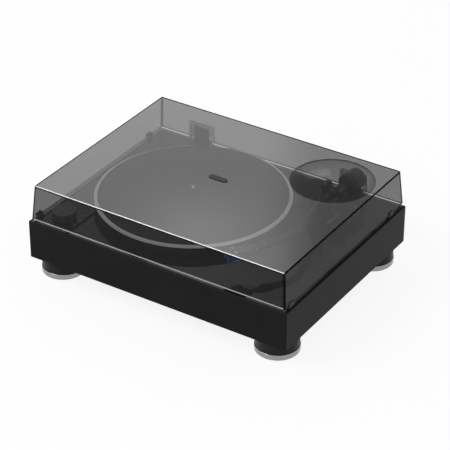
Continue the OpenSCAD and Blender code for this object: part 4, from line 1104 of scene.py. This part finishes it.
def knobMarks(user):
    cx, cy = user["center"]
    middle = Vector((cx, cy, user["deck"]))
    halfTurn = Matrix.Rotation(math.pi, 4, "Z")  # the labels are read from the rear
    rows = []
    for text, degrees in user["marks"]:
        turn = math.radians(degrees)
        way = Vector((math.cos(turn), math.sin(turn), 0))
        tick = Matrix.Translation(middle + way * user["tickReach"]) @ Matrix.Rotation(turn, 4, "Z")
        rows.append((tick, (user["tickLength"], user["tickWidth"], barDepth)))
        place = Matrix.Translation(middle + way * (user["labelReach"] + len(text) * user["letter"] / 2))
        place = place @ halfTurn
        inked(text, "speedLabel" + text, user["labelSize"], place, "base", whiteInk)
    bars("speedTicks", rows, "base", whiteInk)
    # the white dot on the knob's top, sunk by half its height
    turn = math.radians(user["pointer"])
    bm = bmesh.new()
    bmesh.ops.create_circle(bm, cap_ends=True, radius=user["dotRadius"], segments=32)
    made = bmesh.ops.extrude_face_region(bm, geom=bm.faces[:])["geom"]
    lifted = [v for v in made if isinstance(v, bmesh.types.BMVert)]
    bmesh.ops.translate(bm, vec=(0, 0, user["dotHeight"]), verts=lifted)
    place = (cx + user["dotReach"] * math.cos(turn), cy + user["dotReach"] * math.sin(turn),
             user["top"] - user["dotHeight"] / 2)
    bmesh.ops.translate(bm, vec=place, verts=bm.verts)
    addPiece(bm, "knobPointer", "speed_knob", whiteInk)


knobMarks(knobUser)

dialUser = {
    "reach": 30.7 * mm,
    "radius": 15.04 * mm,
    "ticks": 40,
    "numbers": 8,
    "size": 2.1 * mm,
    "tickWidth": 0.22 * mm,
    "tickLong": 1.9 * mm,
    "tickShort": 1.2 * mm,
    "tickEnd": 3 * mm,
    "numberBack": 0.9 * mm,
    "numberLift": 0.01 * mm,
}


def forceDialMarks(user):
    # a scale round the dial, in half grams, with a number for each whole one
    middle = pivot + armBack * user["reach"]
    every = user["ticks"] // user["numbers"]
    rows = []
    for i in range(user["ticks"]):
        out = Matrix.Rotation(2 * math.pi * i / user["ticks"], 3, armBack) @ Vector((0, 0, 1))
        whole = i % every == 0
        length = user["tickLong"] if whole else user["tickShort"]
        place = middle + out * user["radius"] + armBack * (user["tickEnd"] - length / 2)
        along = Matrix((armBack.cross(out), armBack, out)).transposed().to_4x4()
        rows.append((Matrix.Translation(place) @ along, (user["tickWidth"], length, barDepth)))
        if whole:
            halfGrams = i // every
            number = "." if halfGrams % 2 else str(halfGrams // 2)
            place = middle + out * (user["radius"] + user["numberLift"]) - armBack * user["numberBack"]
            inked(number, "dialNumber%d" % i, user["size"], Matrix.Translation(place) @ along,
                  "force_dial", darkInk)
    bars("dialScale", rows, "force_dial", darkInk)


forceDialMarks(dialUser)

skateUser = {
    "center": (176.5 * mm, 90.5 * mm),
    "top": 115.42 * mm,
    "radius": 7.6 * mm,
    "first": 200.0,
    "step": 40.0,
    "numbers": 7,
    "numberIn": 2 * mm,
    "size": 1.9 * mm,
    "tick": (1.4 * mm, 0.25 * mm, barDepth),
}


def skateMarks(user):
    middle = Vector((*user["center"], user["top"]))
    rows = []
    for i in range(user["numbers"]):
        turn = math.radians(user["first"] - i * user["step"])
        way = Vector((math.cos(turn), math.sin(turn), 0))
        tick = Matrix.Translation(middle + way * user["radius"]) @ Matrix.Rotation(turn, 4, "Z")
        rows.append((tick, user["tick"]))
        place = Matrix.Translation(middle + way * (user["radius"] - user["numberIn"]))
        place = place @ Matrix.Rotation(turn + math.pi / 2, 4, "Z")
        inked(str(i), "skateNumber%d" % i, user["size"], place, "anti_skate_dial", whiteInk)
    bars("skateScale", rows, "anti_skate_dial", whiteInk)


skateMarks(skateUser)

panelUser = {
    "face": 160.02 * mm,
    "row": 58.8 * mm,
    "size": 3.2 * mm,
    "labels": [("R", -58), ("L", -76), ("GND", -94), ("DC", -137.2)],
    "rings": [(-58, (0.5, 0.02, 0.02)), (-76, (0.75, 0.75, 0.74))],
    "ringAxis": 50.25 * mm,
    "ringFace": 169.0 * mm,
    "ringRadii": (1.7 * mm, 3.1 * mm),
    "ringThick": 0.12 * mm,
}


def panelMarks(user):
    # the labels stand on their heads: a character's right goes to +X and its top to -Z
    hanging = Matrix(((1, 0, 0), (0, 0, 1), (0, -1, 0))).to_4x4()
    for text, x in user["labels"]:
        place = Matrix.Translation((x * mm, user["face"], user["row"])) @ hanging
        inked(text, "panelLabel" + text, user["size"], place, "base", whiteInk)
    inner, outer = user["ringRadii"]
    thick = user["ringThick"]
    for i, (x, color) in enumerate(user["rings"]):
        name = "socketInsulator%d" % i
        bm = bmesh.new()
        latheRings(bm, [(inner, 0), (outer, 0), (outer, thick), (inner, thick)], 40)
        turn = Matrix.Translation((x * mm, user["ringFace"], user["ringAxis"])) @ turnTo((0, 1, 0))
        bmesh.ops.transform(bm, matrix=turn, verts=bm.verts)
        addPiece(bm, name, "base", mouldedPlastic(name, color, 0.35, 0.3 * mm))


panelMarks(panelUser)

leadUser = {
    "radius": 0.5 * mm,
    "sleeve": 0.85 * mm,
    "sides": 10,
    # name, side, row and colour
    "wires": [
        ("leadWhite", 1, 0, (0.8, 0.8, 0.78)),
        ("leadRed", 1, 1, (0.6, 0.03, 0.02)),
        ("leadBlue", -1, 0, (0.03, 0.12, 0.6)),
        ("leadGreen", -1, 1, (0.03, 0.35, 0.08)),
    ],
}


def tubeAlong(points, radius, sides, name, body, finish):
    curve = bpy.data.curves.new(name, "CURVE")
    curve.dimensions = "3D"
    curve.bevel_depth = radius
    curve.bevel_resolution = sides // 4
    curve.use_fill_caps = True
    line = curve.splines.new("NURBS")
    line.points.add(len(points) - 1)
    for point, co in zip(line.points, points):
        point.co = (*co, 1)
    line.use_endpoint_u = True
    line.order_u = 4
    line.resolution_u = 8
    mesh = meshOf(curve)
    mesh.shade_smooth()
    return settle(mesh, name, body, finish)


def headshellLeads(user):
    # four wires from the shell's plug to the cartridge's pins, each with a gold clip at its end
    sleeveGold = machinedMetal("leadSleeve", (0.85, 0.66, 0.32), 0.22, evenly)
    for name, side, row, color in user["wires"]:
        finish = mouldedPlastic(name + "Skin", color, 0.35, 0.3 * mm, 0.004 * mm)
        drop = -2.5 - row * 1.5
        level = -4.5 - row * 3
        # across, along the shell and up, in mm from the end of the arm's tube
        points = [
            (side * 2.6, -8.0, drop),
            (side * 2.8, -11.0, drop),
            (side * (5.0 + 2.5 * row), -14.0, drop - 0.6),
            (side * (7.6 + 3.0 * row), -17.5, (drop + level) / 2),
            (side * (5.4 + 1.6 * row), -21.5, level),
            (side * 4.0, -23.4, level),
            (side * 4.0, -25.2, level),
        ]
        ends = [(side * 4.0, y, level) for y in (-24.4, -25.4, -26.4, -29.4)]
        wire = tubeAlong([shellPoint(*point) for point in points], user["radius"], user["sides"],
                         name, "tonearm", finish)
        tubeAlong([shellPoint(*point) for point in ends], user["sleeve"], user["sides"],
                  name + "Clip", "tonearm", sleeveGold)
        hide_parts("headshell_leads")


headshellLeads(leadUser)
print("marks, slots and leads made")
